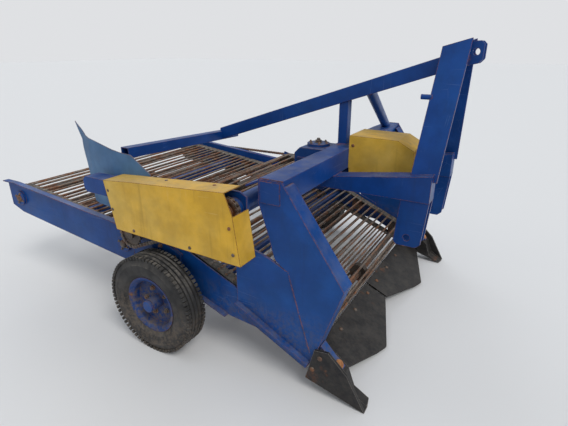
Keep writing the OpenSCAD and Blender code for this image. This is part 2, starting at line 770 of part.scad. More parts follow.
module rim() translate([sx(axle_at), -wheel_mid, axle_z]) rotate([90, 0, 0]) rotate_extrude() rim_section();

module rim_right() color(blue) rim();
module rim_left() color(blue) left_of() rim();

// Half section of the tyre, from one bead over the tread to the other
module tyre_section() {
    half = tyre_w / 2;
    polygon([[rim_r - 4 + gap, -rim_half + 9], [rim_r + 4 + 2 * gap, -rim_half + 4], [rim_r + 34, -half],
        [tyre_r - 22, -half + 3], [tyre_r, -half + 30], [tyre_r, half - 30], [tyre_r - 22, half - 3],
        [rim_r + 34, half], [rim_r + 4 + 2 * gap, rim_half - 4], [rim_r - 4 + gap, rim_half - 9]]);
}

module tyre() translate([sx(axle_at), -wheel_mid, axle_z]) rotate([90, 0, 0]) rotate_extrude($fn = 36)
    tyre_section();

module tyre_right() color(dark) tyre();
module tyre_left() color(dark) left_of() tyre();

front_beam();
beam_apron();
side_plate_right();
side_plate_left();
side_wall_right();
side_wall_left();
rear_rail_right();
rear_rail_left();
hitch_arm_right();
hitch_arm_left();
mast_leg_right();
mast_leg_left();
mast_head();
top_brace();
brace_post();
brace_strut();
tie_tube();
deflector();
guard_bracket();
gearbox();
input_shaft();
pto_guard();
drive_tube();
drive_sprocket();
drive_chain();
chain_guard();
main_web();
main_drive();
cascade_web();
front_rollers();
cascade_drive();
cascade_chain();
support_rollers();
share_bar();
share_right();
share_left();
point_right();
point_left();
wall_ties();
wheel_bracket_right();
wheel_bracket_left();
rim_right();
rim_left();
tyre_right();
tyre_left();
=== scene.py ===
# %% [markdown]
# # A two-row potato harvester in worn blue enamel
# A small harvester that hangs on a tractor. Two black shares lift the ridges, two rod webs in a row sift
# the soil away, and a chain under a yellow guard drives them. The solids come from the CAD frame in
# metres, so this lesson only dresses them: softer edges, real rods, chain links, bolts, weld beads and
# finishes that show years in the field.

import json
import math

import bmesh
import bpy
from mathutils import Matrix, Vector, noise
from mathutils.bvhtree import BVHTree

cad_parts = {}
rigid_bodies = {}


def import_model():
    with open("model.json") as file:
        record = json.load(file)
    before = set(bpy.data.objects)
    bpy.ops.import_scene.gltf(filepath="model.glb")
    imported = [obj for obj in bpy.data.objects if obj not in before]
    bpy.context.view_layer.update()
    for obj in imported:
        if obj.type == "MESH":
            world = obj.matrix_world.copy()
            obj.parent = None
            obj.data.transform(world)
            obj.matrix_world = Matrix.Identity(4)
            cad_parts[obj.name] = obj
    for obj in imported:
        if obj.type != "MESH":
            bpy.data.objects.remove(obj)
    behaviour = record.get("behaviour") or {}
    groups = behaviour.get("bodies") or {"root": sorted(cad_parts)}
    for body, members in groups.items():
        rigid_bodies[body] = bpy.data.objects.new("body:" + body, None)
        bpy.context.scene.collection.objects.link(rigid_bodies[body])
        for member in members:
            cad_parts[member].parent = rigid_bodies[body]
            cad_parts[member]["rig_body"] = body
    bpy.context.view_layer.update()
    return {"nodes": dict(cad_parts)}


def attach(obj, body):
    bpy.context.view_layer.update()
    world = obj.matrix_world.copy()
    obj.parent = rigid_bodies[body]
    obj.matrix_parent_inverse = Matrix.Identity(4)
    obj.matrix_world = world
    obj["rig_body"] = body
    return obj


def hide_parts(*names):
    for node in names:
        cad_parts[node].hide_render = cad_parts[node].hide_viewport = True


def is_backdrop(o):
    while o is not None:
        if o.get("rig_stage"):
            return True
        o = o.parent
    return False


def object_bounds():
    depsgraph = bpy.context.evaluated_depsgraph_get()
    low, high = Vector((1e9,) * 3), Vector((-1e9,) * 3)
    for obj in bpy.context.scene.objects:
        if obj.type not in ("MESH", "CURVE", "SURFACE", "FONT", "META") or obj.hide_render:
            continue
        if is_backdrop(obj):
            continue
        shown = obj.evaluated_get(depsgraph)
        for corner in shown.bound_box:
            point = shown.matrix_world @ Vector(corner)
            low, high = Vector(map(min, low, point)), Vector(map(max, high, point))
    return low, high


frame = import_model()
nodes = frame["nodes"]
scene = bpy.context.scene

# %% [markdown]
# ## Places on the machine
# Every place is given as on the drawing: a distance behind the share tips, a side place with the left
# positive, and a height above the ground, all in millimetres. One helper turns them into the frame.

# %% Drawing sizes
MM = 0.001
TIP_X = 984
HALF_W, PLATE_IN, WEB_HALF = 700, 692, 675
BELT_W, BELT_T = 50, 13
ROD_PITCH = 40
MAIN_FRONT, MAIN_REAR = (300, 165), (1085, 490)
CASCADE_FRONT, CASCADE_REAR = (1200, 400), (2000, 485)
DRIVE_AT = (552, 700)
ROLLER_R, MAIN_DRIVE_R, CASCADE_DRIVE_R = 45, 60, 55
AXLE = (930, 785, 225)


def at(s, y, z):
    """A drawing place in metres in the frame."""
    return Vector(((TIP_X - s) * MM, y * MM, z * MM))


print("share tip at", tuple(round(c, 3) for c in at(0, -HALF_W, 0)))

# %% [markdown]
# ## Camera, floor and light
# The camera stands where the photographer stood, a little over a metre up and close to the shares, so a
# wide lens shows the webs running away. The studio is plain: a pale floor, an even sky and two broad
# lamps, at a level where a colour renders about as it is written.

# %% Camera
LOOK_DOWN = math.radians(21.2)


def new_object(name, data):
    item = bpy.data.objects.new(name, data)
    scene.collection.objects.link(item)
    return item


def new_mesh(corners, edges=(), faces=()):
    mesh = bpy.data.meshes.new("shape")
    mesh.from_pydata(corners, edges, faces)
    return mesh


camera_data = bpy.data.cameras.new("camera")
camera_data.sensor_width = 36
camera_data.lens = 27.06
camera = new_object("camera", camera_data)
camera.location = (1.326, -1.888, 1.25)
gaze = Vector((-0.5 * math.cos(LOOK_DOWN), 0.866 * math.cos(LOOK_DOWN), -math.sin(LOOK_DOWN)))
camera.rotation_mode = "QUATERNION"
camera.rotation_quaternion = gaze.to_track_quat("-Z", "Y")
scene.camera = camera
scene.view_settings.view_transform = "Standard"
print("camera", tuple(camera.location))


# %% Small helpers for nodes
def fill(node, feeds):
    """Fills a node's inputs from values or other nodes' sockets."""
    for key, value in feeds.items():
        if isinstance(value, bpy.types.NodeSocket):
            node.id_data.links.new(value, node.inputs[key])
        else:
            node.inputs[key].default_value = value


def wire(tree, kind, feeds=None, **settings):
    """Adds a node, makes its settings, fills its inputs and gives its outputs."""
    node = tree.nodes.new(kind)
    for key, value in settings.items():
        setattr(node, key, value)
    fill(node, feeds or {})
    return node.outputs


def new_material(name):
    material = bpy.data.materials.new(name)
    material.use_nodes = True
    return material, material.node_tree


def math_node(operation):
    """A function that adds one kind of Math node and gives its result."""
    def add(tree, a, b, clamp=False):
        feeds = {0: a, 1: b}
        return wire(tree, "ShaderNodeMath", feeds, operation=operation, use_clamp=clamp)[0]
    return add


plus, minus, times, most = [math_node(name) for name in ("ADD", "SUBTRACT", "MULTIPLY", "MAXIMUM")]


def tint(tree, factor, a, b, mode="MIX"):
    """The colour between a and b."""
    return wire(tree, "ShaderNodeMix", {0: factor, 6: a, 7: b}, data_type="RGBA", blend_type=mode)[2]


def ramp(tree, value, low, high, to_low=0.0, to_high=1.0):
    """A smooth step of a value from low to high."""
    feeds = {"Value": value, "From Min": low, "From Max": high, "To Min": to_low, "To Max": to_high}
    return wire(tree, "ShaderNodeMapRange", feeds, interpolation_type="SMOOTHSTEP")[0]


def height_of(tree, vector):
    """The z of a vector."""
    return wire(tree, "ShaderNodeSeparateXYZ", {0: vector})["Z"]


def rgb(r, g, b):
    return (r, g, b, 1.0)


# %% Floor
SQUARE = ((-1, -1), (1, -1), (1, 1), (-1, 1))
FLOOR_REACH, FLOOR_Z, FLOOR_ROUGH = 40, -0.001, 0.9
FLOOR_TONE, SKY_TONE = rgb(0.74, 0.75, 0.77), rgb(0.94, 0.97, 1.0)
SKY_LIGHT = 0.62
corners = [(x * FLOOR_REACH, y * FLOOR_REACH, FLOOR_Z) for x, y in SQUARE]
floor_mesh = new_mesh(corners, faces=[(0, 1, 2, 3)])
new_object("floor", floor_mesh)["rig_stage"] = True
floor_paint, floor_tree = new_material("floor_paint")
fill(floor_tree.nodes["Principled BSDF"], {"Base Color": FLOOR_TONE, "Roughness": FLOOR_ROUGH})
floor_mesh.materials.append(floor_paint)
print("floor", FLOOR_TONE[:3])

# %% Sky
world = bpy.data.worlds.new("studio")
scene.world = world
world.use_nodes = True
sky = world.node_tree
sky.nodes.clear()
ray = wire(sky, "ShaderNodeLightPath")
way_up = height_of(sky, wire(sky, "ShaderNodeTexCoord")["Generated"])
mirrored_light = ramp(sky, way_up, 0.05, 0.8, 0.22, 1.0)
skies = (SKY_TONE, SKY_LIGHT), (SKY_TONE, mirrored_light), (FLOOR_TONE, 1.0)
lit, mirrored, shown = [wire(sky, "ShaderNodeBackground", {"Color": tone, "Strength": light})[0]
                        for tone, light in skies]
either = wire(sky, "ShaderNodeMixShader", {0: ray["Is Glossy Ray"], 1: lit, 2: mirrored})[0]
all_rays = wire(sky, "ShaderNodeMixShader", {0: ray["Is Camera Ray"], 1: either, 2: shown})[0]
wire(sky, "ShaderNodeOutputWorld", {"Surface": all_rays})
print("sky", SKY_TONE[:3])


# %% Lamps
def wide_sun(name, compass, lean, strength, colour, spread):
    """A sun with soft shadows; compass is where it shines from, from +x to the left, and lean its height."""
    data = bpy.data.lights.new(name, "SUN")
    data.energy = strength
    data.color = colour
    data.angle = math.radians(spread)
    item = new_object(name, data)
    round_way, up_way = math.radians(compass), math.radians(lean)
    towards = Vector((math.cos(round_way) * math.cos(up_way), math.sin(round_way) * math.cos(up_way),
                      math.sin(up_way)))
    item.rotation_mode = "QUATERNION"
    item.rotation_quaternion = towards.to_track_quat("Z", "Y")


wide_sun("key", -28, 48, 1.32, (1.0, 0.97, 0.92), 24)
wide_sun("rim", 140, 38, 0.42, (0.92, 0.96, 1.0), 30)

# %% [markdown]
# ## What the weather did
# Enamel on farm steel ages in a few ways that all the pieces share: it rubs off at corners, rust spreads
# from chips, rain leaves runs, and dust settles where a surface looks up. Each of these is one small node
# group with named inputs, so that every finish uses the same wear in its own amount. All of them read the
# object's own coordinates, which are metres in the frame, so the scale of the wear is real.

# %% Group maker
def new_group(name, **inputs):
    """An empty shader group that puts out one mask: its tree and the sockets to read."""
    tree = bpy.data.node_groups.new(name, "ShaderNodeTree")
    for label, value in inputs.items():
        kind = "NodeSocketVector" if isinstance(value, tuple) else "NodeSocketFloat"
        tree.interface.new_socket(name=label, in_out="INPUT", socket_type=kind).default_value = value
    tree.interface.new_socket(name="Mask", in_out="OUTPUT", socket_type="NodeSocketFloat")
    return tree, wire(tree, "NodeGroupInput")


def put_out(tree, mask):
    """Ends a group with its mask."""
    wire(tree, "NodeGroupOutput", {"Mask": mask})
    print("group", tree.name)
    return tree


def own_place(tree, stretch=(1, 1, 1), shift=(0, 0, 0), turn=(0, 0, 0)):
    """The object's own coordinates, stretched, turned and shifted."""
    feeds = {"Vector": wire(tree, "ShaderNodeTexCoord")["Object"], "Scale": stretch, "Location": shift,
             "Rotation": turn}
    return wire(tree, "ShaderNodeMapping", feeds)[0]


def cloud(tree, scale, detail=6.0, rough=0.6, vector=None):
    """Plain fractal noise from 0 to 1, on the object's own coordinates or on a vector."""
    feeds = {"Vector": vector or own_place(tree), "Scale": scale, "Detail": detail, "Roughness": rough}
    return wire(tree, "ShaderNodeTexNoise", feeds)["Fac"]


# %% Worn corners
tree, put = new_group("corner_wear", Radius=0.004, Grain=45.0, Amount=0.5)
true_normal = wire(tree, "ShaderNodeNewGeometry")["Normal"]
round_normal = wire(tree, "ShaderNodeBevel", {"Radius": put["Radius"]}, samples=6)[0]
alike = wire(tree, "ShaderNodeVectorMath", {0: true_normal, 1: round_normal}, operation="DOT_PRODUCT")
edge = ramp(tree, alike["Value"], 0.995, 0.90)
limit = minus(tree, 0.75, times(tree, put["Amount"], 0.42))
chip = plus(tree, cloud(tree, put["Grain"], 5.0, 0.7), times(tree, edge, 0.16))
worn = ramp(tree, minus(tree, chip, limit), 0.0, 0.03)
corner_wear = put_out(tree, times(tree, worn, edge))

# %% Patches that spread from chips
tree, put = new_group("patches", Scale=3.0, Level=0.6, Softness=0.08, Shift=0.0)
shifted = wire(tree, "ShaderNodeCombineXYZ", {"X": put["Shift"], "Y": put["Shift"]})[0]
spot = wire(tree, "ShaderNodeVectorMath", {0: own_place(tree), 1: shifted}, operation="ADD")[0]
field = cloud(tree, put["Scale"], 8.0, 0.62, spot)
patches = put_out(tree, ramp(tree, field, put["Level"], plus(tree, put["Level"], put["Softness"])))

# %% Rain runs and scratches
tree, put = new_group("runs", Scale=38.0, Level=0.56)
streak = cloud(tree, put["Scale"], 3.0, 0.55, own_place(tree, (1, 1, 0.07)))
streak = ramp(tree, streak, put["Level"], plus(tree, put["Level"], 0.16))
runs = put_out(tree, times(tree, streak, cloud(tree, 4.0, 2.0)))

# Three families of long thin marks: each has its stretch along one axis and its turn.
SCRATCH_WAYS = [((1, 0.05, 1), (0.35, 0.0, 0.2)), ((0.05, 1, 1), (0.1, 0.5, 0.0)),
                ((1, 1, 0.05), (0.3, 0.25, 0.4))]
tree, put = new_group("scratches", Scale=16.0, Width=0.012)
marks = 0.0
for number, (stretch, turn) in enumerate(SCRATCH_WAYS):
    feeds = {"Vector": own_place(tree, stretch, (number * 3.1, 0, 0), turn), "Scale": put["Scale"]}
    line = wire(tree, "ShaderNodeTexVoronoi", feeds, feature="DISTANCE_TO_EDGE")["Distance"]
    rare = cloud(tree, 4.5, vector=own_place(tree, shift=(number * 5.3, 1, 2)))
    rare = ramp(tree, rare, 0.56, 0.66)
    marks = most(tree, marks, times(tree, ramp(tree, line, put["Width"], 0.0), rare))
scratches = put_out(tree, marks)

# %% Settled dust, caked soil and rust at a place
tree, put = new_group("dust", Amount=0.5, Grain=14.0)
facing = height_of(tree, wire(tree, "ShaderNodeNewGeometry")["Normal"])
speckle = ramp(tree, cloud(tree, put["Grain"], 8.0, 0.7), 0.38, 0.66)
dust = put_out(tree, times(tree, times(tree, ramp(tree, facing, 0.25, 0.95), speckle), put["Amount"]))

tree, put = new_group("soil", Level=0.35, Amount=0.6)
height = plus(tree, height_of(tree, own_place(tree)), times(tree, cloud(tree, 7.0, 6.0), 0.3))
low = ramp(tree, height, plus(tree, put["Level"], 0.18), put["Level"])
crumbs = ramp(tree, cloud(tree, 60.0, 6.0, 0.7), 0.4, 0.62)
soil = put_out(tree, times(tree, times(tree, low, crumbs), put["Amount"]))

tree, put = new_group("near", Place=(0, 0, 0), Reach=0.1)
away = wire(tree, "ShaderNodeVectorMath", {0: own_place(tree), 1: put["Place"]}, operation="DISTANCE")
blurred = plus(tree, away["Value"], times(tree, cloud(tree, 24.0, 6.0), 0.09))
near = put_out(tree, ramp(tree, blurred, plus(tree, put["Reach"], 0.05), put["Reach"]))


def use(tree, group, **values):
    """The mask of a group in a material with its own values."""
    return wire(tree, "ShaderNodeGroup", values, node_tree=group)["Mask"]


# %% [markdown]
# ## Enamel, rust, rubber
# The frame is a deep cobalt enamel, the deflector has faded to grey-blue, and the guards are a tired
# yellow. All three come from one function. Rust is dark in its middle and orange at its rim, and it takes
# away both the gloss and the smoothness of the paint.

# %% Steps that the finishes share
RUST_DARK, RUST_ORANGE = rgb(0.085, 0.032, 0.016), rgb(0.30, 0.105, 0.03)
DUST_TONE, SOIL_TONE = rgb(0.27, 0.245, 0.21), rgb(0.13, 0.10, 0.075)
RUBBED_TONE = rgb(0.32, 0.29, 0.26)
PAINT_SHINE, DULLED = 0.24, 0.45


def rust_tone(tree):
    """Rust that goes from dark brown to orange in small clouds."""
    return tint(tree, ramp(tree, cloud(tree, 55.0, 7.0, 0.7), 0.36, 0.66), RUST_DARK, RUST_ORANGE)


def settle(tree, colour, dust_mask, soil_mask):
    """Dust and soil over a colour."""
    return tint(tree, soil_mask, tint(tree, dust_mask, colour, DUST_TONE), SOIL_TONE)


def finish(material, height, strength, distance, feeds):
    """Feeds the shader's own sockets, with a bump made from a height."""
    tree = material.node_tree
    bump = {"Strength": strength, "Distance": distance, "Height": height}
    feeds["Normal"] = wire(tree, "ShaderNodeBump", bump)[0]
    fill(tree.nodes["Principled BSDF"], feeds)
    return material


# %% Enamel
def enamel(name, fresh, faded, fade=0.5, chips=0.5, rust=0.68, runs_dark=0.35, lying=0.28, muddy=0.4,
           rough=0.38, rust_places=(), shift=0.0):
    """Paint on steel with its fading, chips, rust, runs, scratches, dust and caked soil."""
    material, tree = new_material(name)
    age = use(tree, patches, Scale=1.7, Level=0.40, Softness=0.3, Shift=shift)
    colour = tint(tree, times(tree, age, fade), fresh, faded)
    blotch = ramp(tree, cloud(tree, 9.0, 5.0), 0.3, 0.75, 0.82, 1.12)
    grey = wire(tree, "ShaderNodeCombineColor", {0: blotch, 1: blotch, 2: blotch})[0]
    colour = tint(tree, 1.0, colour, grey, "MULTIPLY")
    dark = rgb(*[c * 0.35 + 0.01 for c in fresh[:3]])
    colour = tint(tree, times(tree, use(tree, runs), runs_dark), colour, dark)
    pale = rgb(*[min(1.0, c * 0.9 + 0.16) for c in faded[:3]])
    colour = tint(tree, times(tree, use(tree, scratches), 0.3), colour, pale)
    bare = most(tree, use(tree, corner_wear, Amount=chips),
                use(tree, patches, Scale=5.5, Level=rust, Softness=0.05, Shift=shift + 4.0))
    for place, reach in rust_places:
        bare = most(tree, bare, use(tree, near, Place=tuple(place), Reach=reach))
    colour = tint(tree, bare, colour, rust_tone(tree))
    settled, mud = use(tree, dust, Amount=lying), use(tree, soil, Amount=muddy)
    colour = settle(tree, colour, settled, mud)
    dull = most(tree, most(tree, bare, settled), mud)
    gloss = ramp(tree, cloud(tree, 6.0, 4.0), 0.3, 0.7, rough - 0.06, rough + 0.1)
    roughness = plus(tree, gloss, times(tree, dull, DULLED), clamp=True)
    peel = times(tree, cloud(tree, 420.0, 2.0), 0.10)
    crust = times(tree, bare, minus(tree, cloud(tree, 160.0, 6.0), 0.8))
    clods = times(tree, mud, cloud(tree, 90.0, 4.0))
    height = plus(tree, plus(tree, peel, crust), clods)
    feeds = {"Base Color": colour, "Roughness": roughness, "Specular IOR Level": PAINT_SHINE}
    return finish(material, height, 0.55, 0.0012, feeds)


# %% Five enamels
brace_root, head_front = at(-20, 0, 1195), at(-46, 0, 1200)
blue_enamel = enamel("blue_enamel", rgb(0.003, 0.044, 0.215), rgb(0.010, 0.090, 0.31), rough=0.36,
                     rust_places=[(brace_root, 0.05), (head_front, 0.07)])
faded_enamel = enamel("faded_enamel", rgb(0.07, 0.16, 0.31), rgb(0.17, 0.30, 0.43), fade=0.9, chips=0.75,
                      rust=0.64, lying=0.4, rough=0.5, shift=7.0)
yellow_enamel = enamel("yellow_enamel", rgb(0.62, 0.36, 0.03), rgb(0.62, 0.43, 0.11), fade=0.8, chips=0.85,
                       rust=0.665, runs_dark=0.42, lying=0.35, muddy=0.2, rough=0.42, shift=2.0)
casting_enamel = enamel("casting_enamel", rgb(0.004, 0.038, 0.17), rgb(0.012, 0.065, 0.22), chips=0.7,
                        rust=0.63, rough=0.45, shift=11.0)
rim_enamel = enamel("rim_enamel", rgb(0.004, 0.038, 0.17), rgb(0.02, 0.08, 0.24), chips=0.8, rust=0.6,
                    muddy=0.8, rough=0.42, shift=5.0)
print("enamels", [m.name for m in bpy.data.materials if m.name.endswith("_enamel")])


# %% Bare and rusted steel
def worn_steel(name, dark, light, rust_level=0.5, rust_mix=0.8, shine=0.7, rough=0.42, muddy=0.3, lying=0.2,
               shift=0.0, grain=1.0):
    """Steel that was never painted, or lost its paint: dark skin, burnished corners and rust clouds."""
    material, tree = new_material(name)
    colour = tint(tree, ramp(tree, cloud(tree, 22.0 * grain, 7.0, 0.65), 0.3, 0.72), dark, light)
    rust = use(tree, patches, Scale=7.0 * grain, Level=rust_level, Softness=0.12, Shift=shift)
    rust = times(tree, rust, rust_mix)
    colour = tint(tree, rust, colour, rust_tone(tree))
    rub = times(tree, use(tree, corner_wear, Radius=0.003, Amount=0.9), 0.55)
    colour = tint(tree, rub, colour, RUBBED_TONE)
    settled, mud = use(tree, dust, Amount=lying), use(tree, soil, Amount=muddy)
    colour = settle(tree, colour, settled, mud)
    dull = most(tree, rust, most(tree, mud, settled))
    metal = times(tree, minus(tree, 1.0, dull, clamp=True), shine)
    roughness = plus(tree, rough, times(tree, dull, DULLED), clamp=True)
    pits = plus(tree, cloud(tree, 210.0, 5.0, 0.65), times(tree, rust, cloud(tree, 90.0, 5.0)))
    feeds = {"Base Color": colour, "Metallic": metal, "Roughness": roughness}
    return finish(material, pits, 0.5, 0.0009, feeds)


# %% Six steels
share_black = worn_steel("share_black", rgb(0.008, 0.008, 0.010), rgb(0.024, 0.023, 0.023), rust_level=0.60,
                         shine=0.30, muddy=0.12, lying=0.08, shift=3.0)
rod_rust = worn_steel("rod_rust", rgb(0.10, 0.075, 0.06), rgb(0.25, 0.19, 0.15), rust_level=0.44,
                      rust_mix=0.75, shine=0.35, rough=0.5, muddy=0.0, lying=0.45, shift=1.0, grain=1.6)
drive_rust = worn_steel("drive_rust", rgb(0.05, 0.04, 0.035), rgb(0.13, 0.10, 0.08), rust_level=0.47,
                        shine=0.5, shift=9.0)
scaly_rust = worn_steel("scaly_rust", rgb(0.24, 0.09, 0.03), rgb(0.46, 0.21, 0.075), rust_level=0.6,
                        rust_mix=0.7, shine=0.0, rough=0.8, muddy=0.0, lying=0.1, shift=4.0, grain=3.0)
spline_steel = worn_steel("spline_steel", rgb(0.30, 0.29, 0.28), rgb(0.45, 0.43, 0.41), rust_level=0.6,
                          rust_mix=0.6, shine=0.95, rough=0.28, muddy=0.0, lying=0.1, shift=6.0)
bolt_steel = worn_steel("bolt_steel", rgb(0.07, 0.055, 0.047), rgb(0.17, 0.14, 0.12), rust_level=0.43,
                        shine=0.6, rough=0.45, shift=8.0, grain=2.0)
print("steels", [m.name for m in bpy.data.materials if m.name.endswith(("_rust", "_steel", "_black"))])


# %% Rubber
def aged_rubber(name, dark, light, muddy):
    """Black rubber gone grey and finely cracked, with dust where it lies level."""
    material, tree = new_material(name)
    colour = tint(tree, ramp(tree, cloud(tree, 12.0, 7.0), 0.3, 0.75), dark, light)
    colour = settle(tree, colour, use(tree, dust, Amount=0.5, Grain=24.0),
                    use(tree, soil, Amount=muddy, Level=0.3))
    feeds = {"Vector": own_place(tree), "Scale": 130.0}
    cells = wire(tree, "ShaderNodeTexVoronoi", feeds, feature="DISTANCE_TO_EDGE")["Distance"]
    height = plus(tree, times(tree, ramp(tree, cells, 0.0, 0.08), 0.5), cloud(tree, 260.0, 4.0))
    roughness = ramp(tree, cloud(tree, 20.0), 0.3, 0.7, 0.64, 0.82)
    return finish(material, height, 0.4, 0.0006, {"Base Color": colour, "Roughness": roughness})


tyre_rubber = aged_rubber("tyre_rubber", rgb(0.012, 0.012, 0.013), rgb(0.045, 0.043, 0.042), 0.6)
belt_rubber = aged_rubber("belt_rubber", rgb(0.02, 0.019, 0.018), rgb(0.07, 0.062, 0.055), 0.2)
print("materials", len(bpy.data.materials))

# %% [markdown]
# ## Dressing a CAD node
# A solid from the CAD frame has knife-sharp corners and loose triangles. Real sheet and tube has a small
# radius where it was cut or folded, and that radius is what catches the light. So each solid is copied,
# its doubles are merged, flat faces are joined again, and the sharp edges get a bevel of a millimetre or
# two. The copy then stands for the node.

# %% Dress a solid
FLAT_DEG, SHARP_DEG = 0.6, 28
SAME_PLACE = 0.00002
BAR_EDGE = 0.0012


def merge(shell):
    """Joins doubled corners and whole flat faces."""
    bmesh.ops.remove_doubles(shell, verts=shell.verts, dist=SAME_PLACE)
    bmesh.ops.dissolve_limit(shell, angle_limit=math.radians(FLAT_DEG), verts=shell.verts, edges=shell.edges)


def add_piece(name, mesh, material, body="frame", stands_for=(), sharp=SHARP_DEG, edge=0):
    """A visible piece: smooth up to an angle, bevelled where an edge width is given, on its body."""
    mesh.name = name
    mesh.shade_smooth()
    mesh.set_sharp_from_angle(angle=math.radians(sharp))
    mesh.materials.clear()
    mesh.materials.append(material)
    piece = new_object(name, mesh)
    if edge:
        bevel = piece.modifiers.new("edge", "BEVEL")
        bevel.width = edge
        bevel.segments = 2
        bevel.limit_method = "ANGLE"
        bevel.angle_limit = math.radians(SHARP_DEG)
        bevel.harden_normals = True
        bevel.miter_outer = "MITER_ARC"
    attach(piece, body)
    if stands_for:
        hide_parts(*stands_for)


def dress(name, material, edge, shape=None):
    """A bevelled copy of a CAD node, which it stands for, after a change of its shape if one is given."""
    shell = bmesh.new()
    shell.from_mesh(nodes[name].data)
    merge(shell)
    if shape:
        shape(shell)
    mesh = bpy.data.meshes.new("shape")
    shell.to_mesh(mesh)
    shell.free()
    add_piece(name + "_dressed", mesh, material, nodes[name]["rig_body"], [name], edge=edge)


# %% Finishes of the plain solids
# A star stands for a right and a left node.
FINISHES = [
    (blue_enamel, "frame_paint", 0.0022, "front_beam hitch_arm_* mast_leg_* mast_head wheel_bracket_* "
                                         "brace_post drive_tube"),
    (blue_enamel, "frame_paint", 0.0045, "top_brace"),
    (blue_enamel, "frame_paint", 0.0035, "tie_tube wall_ties"),
    (blue_enamel, "frame_paint", 0.0012, "beam_apron side_wall_* rear_rail_* guard_bracket brace_strut"),
    (casting_enamel, "gear_casting", 0.004, "gearbox"),
    (spline_steel, "bare_steel", 0.0006, "input_shaft"),
    (share_black, "share_steel", 0.0018, "share_bar share_*"),
    (drive_rust, "drive_steel", 0.0012, "main_drive cascade_drive drive_sprocket front_rollers "
                                        "support_rollers"),
    (rim_enamel, "rim_paint", 0.0012, "rim_*"),
]
dressed = 0
for material, slot, edge, names in FINISHES:
    for name in names.split():
        for ending in ("right", "left") if name.endswith("*") else ("",):
            dress(name.replace("*", ending), material, edge)
            dressed += 1
print("dressed", dressed, "nodes")

# %% The shoes
HEEL_AT, HEEL_TO = (276, 74), (243, 60)


def trim_heel(shell):
    """Brings the lower rear corner of a shoe's cheek forwards and a little down."""
    move = at(HEEL_TO[0], 0, HEEL_TO[1]) - at(HEEL_AT[0], 0, HEEL_AT[1])
    for vert in shell.verts:
        if (vert.co - at(HEEL_AT[0], vert.co.y / MM, HEEL_AT[1])).length < MM:
            vert.co += move


for name in ("point_right", "point_left"):
    dress(name, share_black, 0.0018, trim_heel)
print("shoes", 2)

# %% [markdown]
# ## Thin sheets with dents
# The chain guard and the deflector are 3 to 4 mm sheets that have been leant on and driven into. Each is
# cut into a fine grid and pushed in and out by slow noise and a few separate dents, both faces together,
# so that the sheet keeps its thickness.

# %% Dented sheets
SHEET_STEP = 0.035
CUT_NEAR = 1e-6
WAVE_X, WAVE_Z, WAVE_SEED = 3.1, 4.3, 0.7
DENT_FALL = 2.5


def grid_cut(shell, axis):
    """Cuts a mesh by evenly spaced planes across one axis."""
    normal = Vector([1.0 if i == axis else 0.0 for i in range(3)])
    places = [v.co[axis] for v in shell.verts]
    place, high = min(places) + SHEET_STEP, max(places)
    while place < high:
        parts = shell.verts[:] + shell.edges[:] + shell.faces[:]
        bmesh.ops.bisect_plane(shell, geom=parts, plane_co=normal * place, plane_no=normal, dist=CUT_NEAR)
        place += SHEET_STEP


def sheet_dents(amount, dents, keep):
    """A shape function: slow waves and named dents in y, faded out where keep gives 0."""
    def shape(shell):
        grid_cut(shell, 0)
        grid_cut(shell, 2)
        for vert in shell.verts:
            x, z = vert.co.x, vert.co.z
            push = amount * noise.noise(Vector((x * WAVE_X, WAVE_SEED, z * WAVE_Z)))
            for place, reach, depth in dents:
                far = math.hypot(x - place[0], z - place[2]) / reach
                push += depth * math.exp(-far * far * DENT_FALL)
            vert.co.y += push * keep(vert.co)
    return shape


def guard_keep(co):
    """The guard's outer sheet may move; its folded sides hold it."""
    return max(0.0, min(1.0, (-co.y - (HALF_W + 60) * MM) / (30 * MM)))


def deflector_keep(co):
    """The deflector is stiff where it is welded to the wall, and free towards its rear top corner."""
    return max(0.0, min(1.0, (co.z - 560 * MM) / (150 * MM)))


GUARD_DENTS = [(at(640, 0, 560), 0.09, 0.004), (at(980, 0, 720), 0.12, 0.005), (at(840, 0, 610), 0.16, 0.003)]
DEFLECTOR_DENTS = [(at(1300, 0, 760), 0.10, -0.006), (at(1470, 0, 870), 0.07, 0.005)]
dress("chain_guard", yellow_enamel, 0.0007, sheet_dents(0.004, GUARD_DENTS, guard_keep))
dress("deflector", faded_enamel, 0.0008, sheet_dents(0.006, DEFLECTOR_DENTS, deflector_keep))
dress("pto_guard", yellow_enamel, 0.0008)
print("sheets", ["chain_guard", "deflector", "pto_guard"])

# %% [markdown]
# ## Parts that repeat
# Rods, links, bolts and weld beads repeat by a rule, so Geometry Nodes place them. Two trees are enough:
# one walks a template round a path, turned to the path's direction, and one stands a template at each of
# a set of points, aimed along that point's own arrow. Both end in real geometry.

# %% Plain meshes and templates
templates = []


def closed_mesh(shells):
    """One mesh from a list of (corners, faces), with all faces turned outwards."""
    corners, faces = [], []
    for points, rings in shells:
        start = len(corners)
        corners += [tuple(p) for p in points]
        faces += [tuple(i + start for i in ring) for ring in rings]
    mesh = new_mesh(corners, faces=faces)
    shell = bmesh.new()
    shell.from_mesh(mesh)
    bmesh.ops.recalc_face_normals(shell, faces=shell.faces)
    shell.to_mesh(mesh)
    shell.free()
    return mesh


def skin(rings, endless=False):
    """Corners and faces through rings of the same count, capped at both ends or joined in an endless loop."""
    count, size = len(rings), len(rings[0])
    faces = [] if endless else [tuple(reversed(range(size))), tuple(range((count - 1) * size, count * size))]
    for k in range(count if endless else count - 1):
        a, b = k * size, (k + 1) % count * size
        faces += [(a + i, a + (i + 1) % size, b + (i + 1) % size, b + i) for i in range(size)]
    return [p for ring in rings for p in ring], faces


def round_outline(radius, count, turn=0.0, centre=(0, 0)):
    steps = [2 * math.pi * (i + turn) / count for i in range(count)]
    return [(centre[0] + radius * math.cos(t), centre[1] + radius * math.sin(t)) for t in steps]


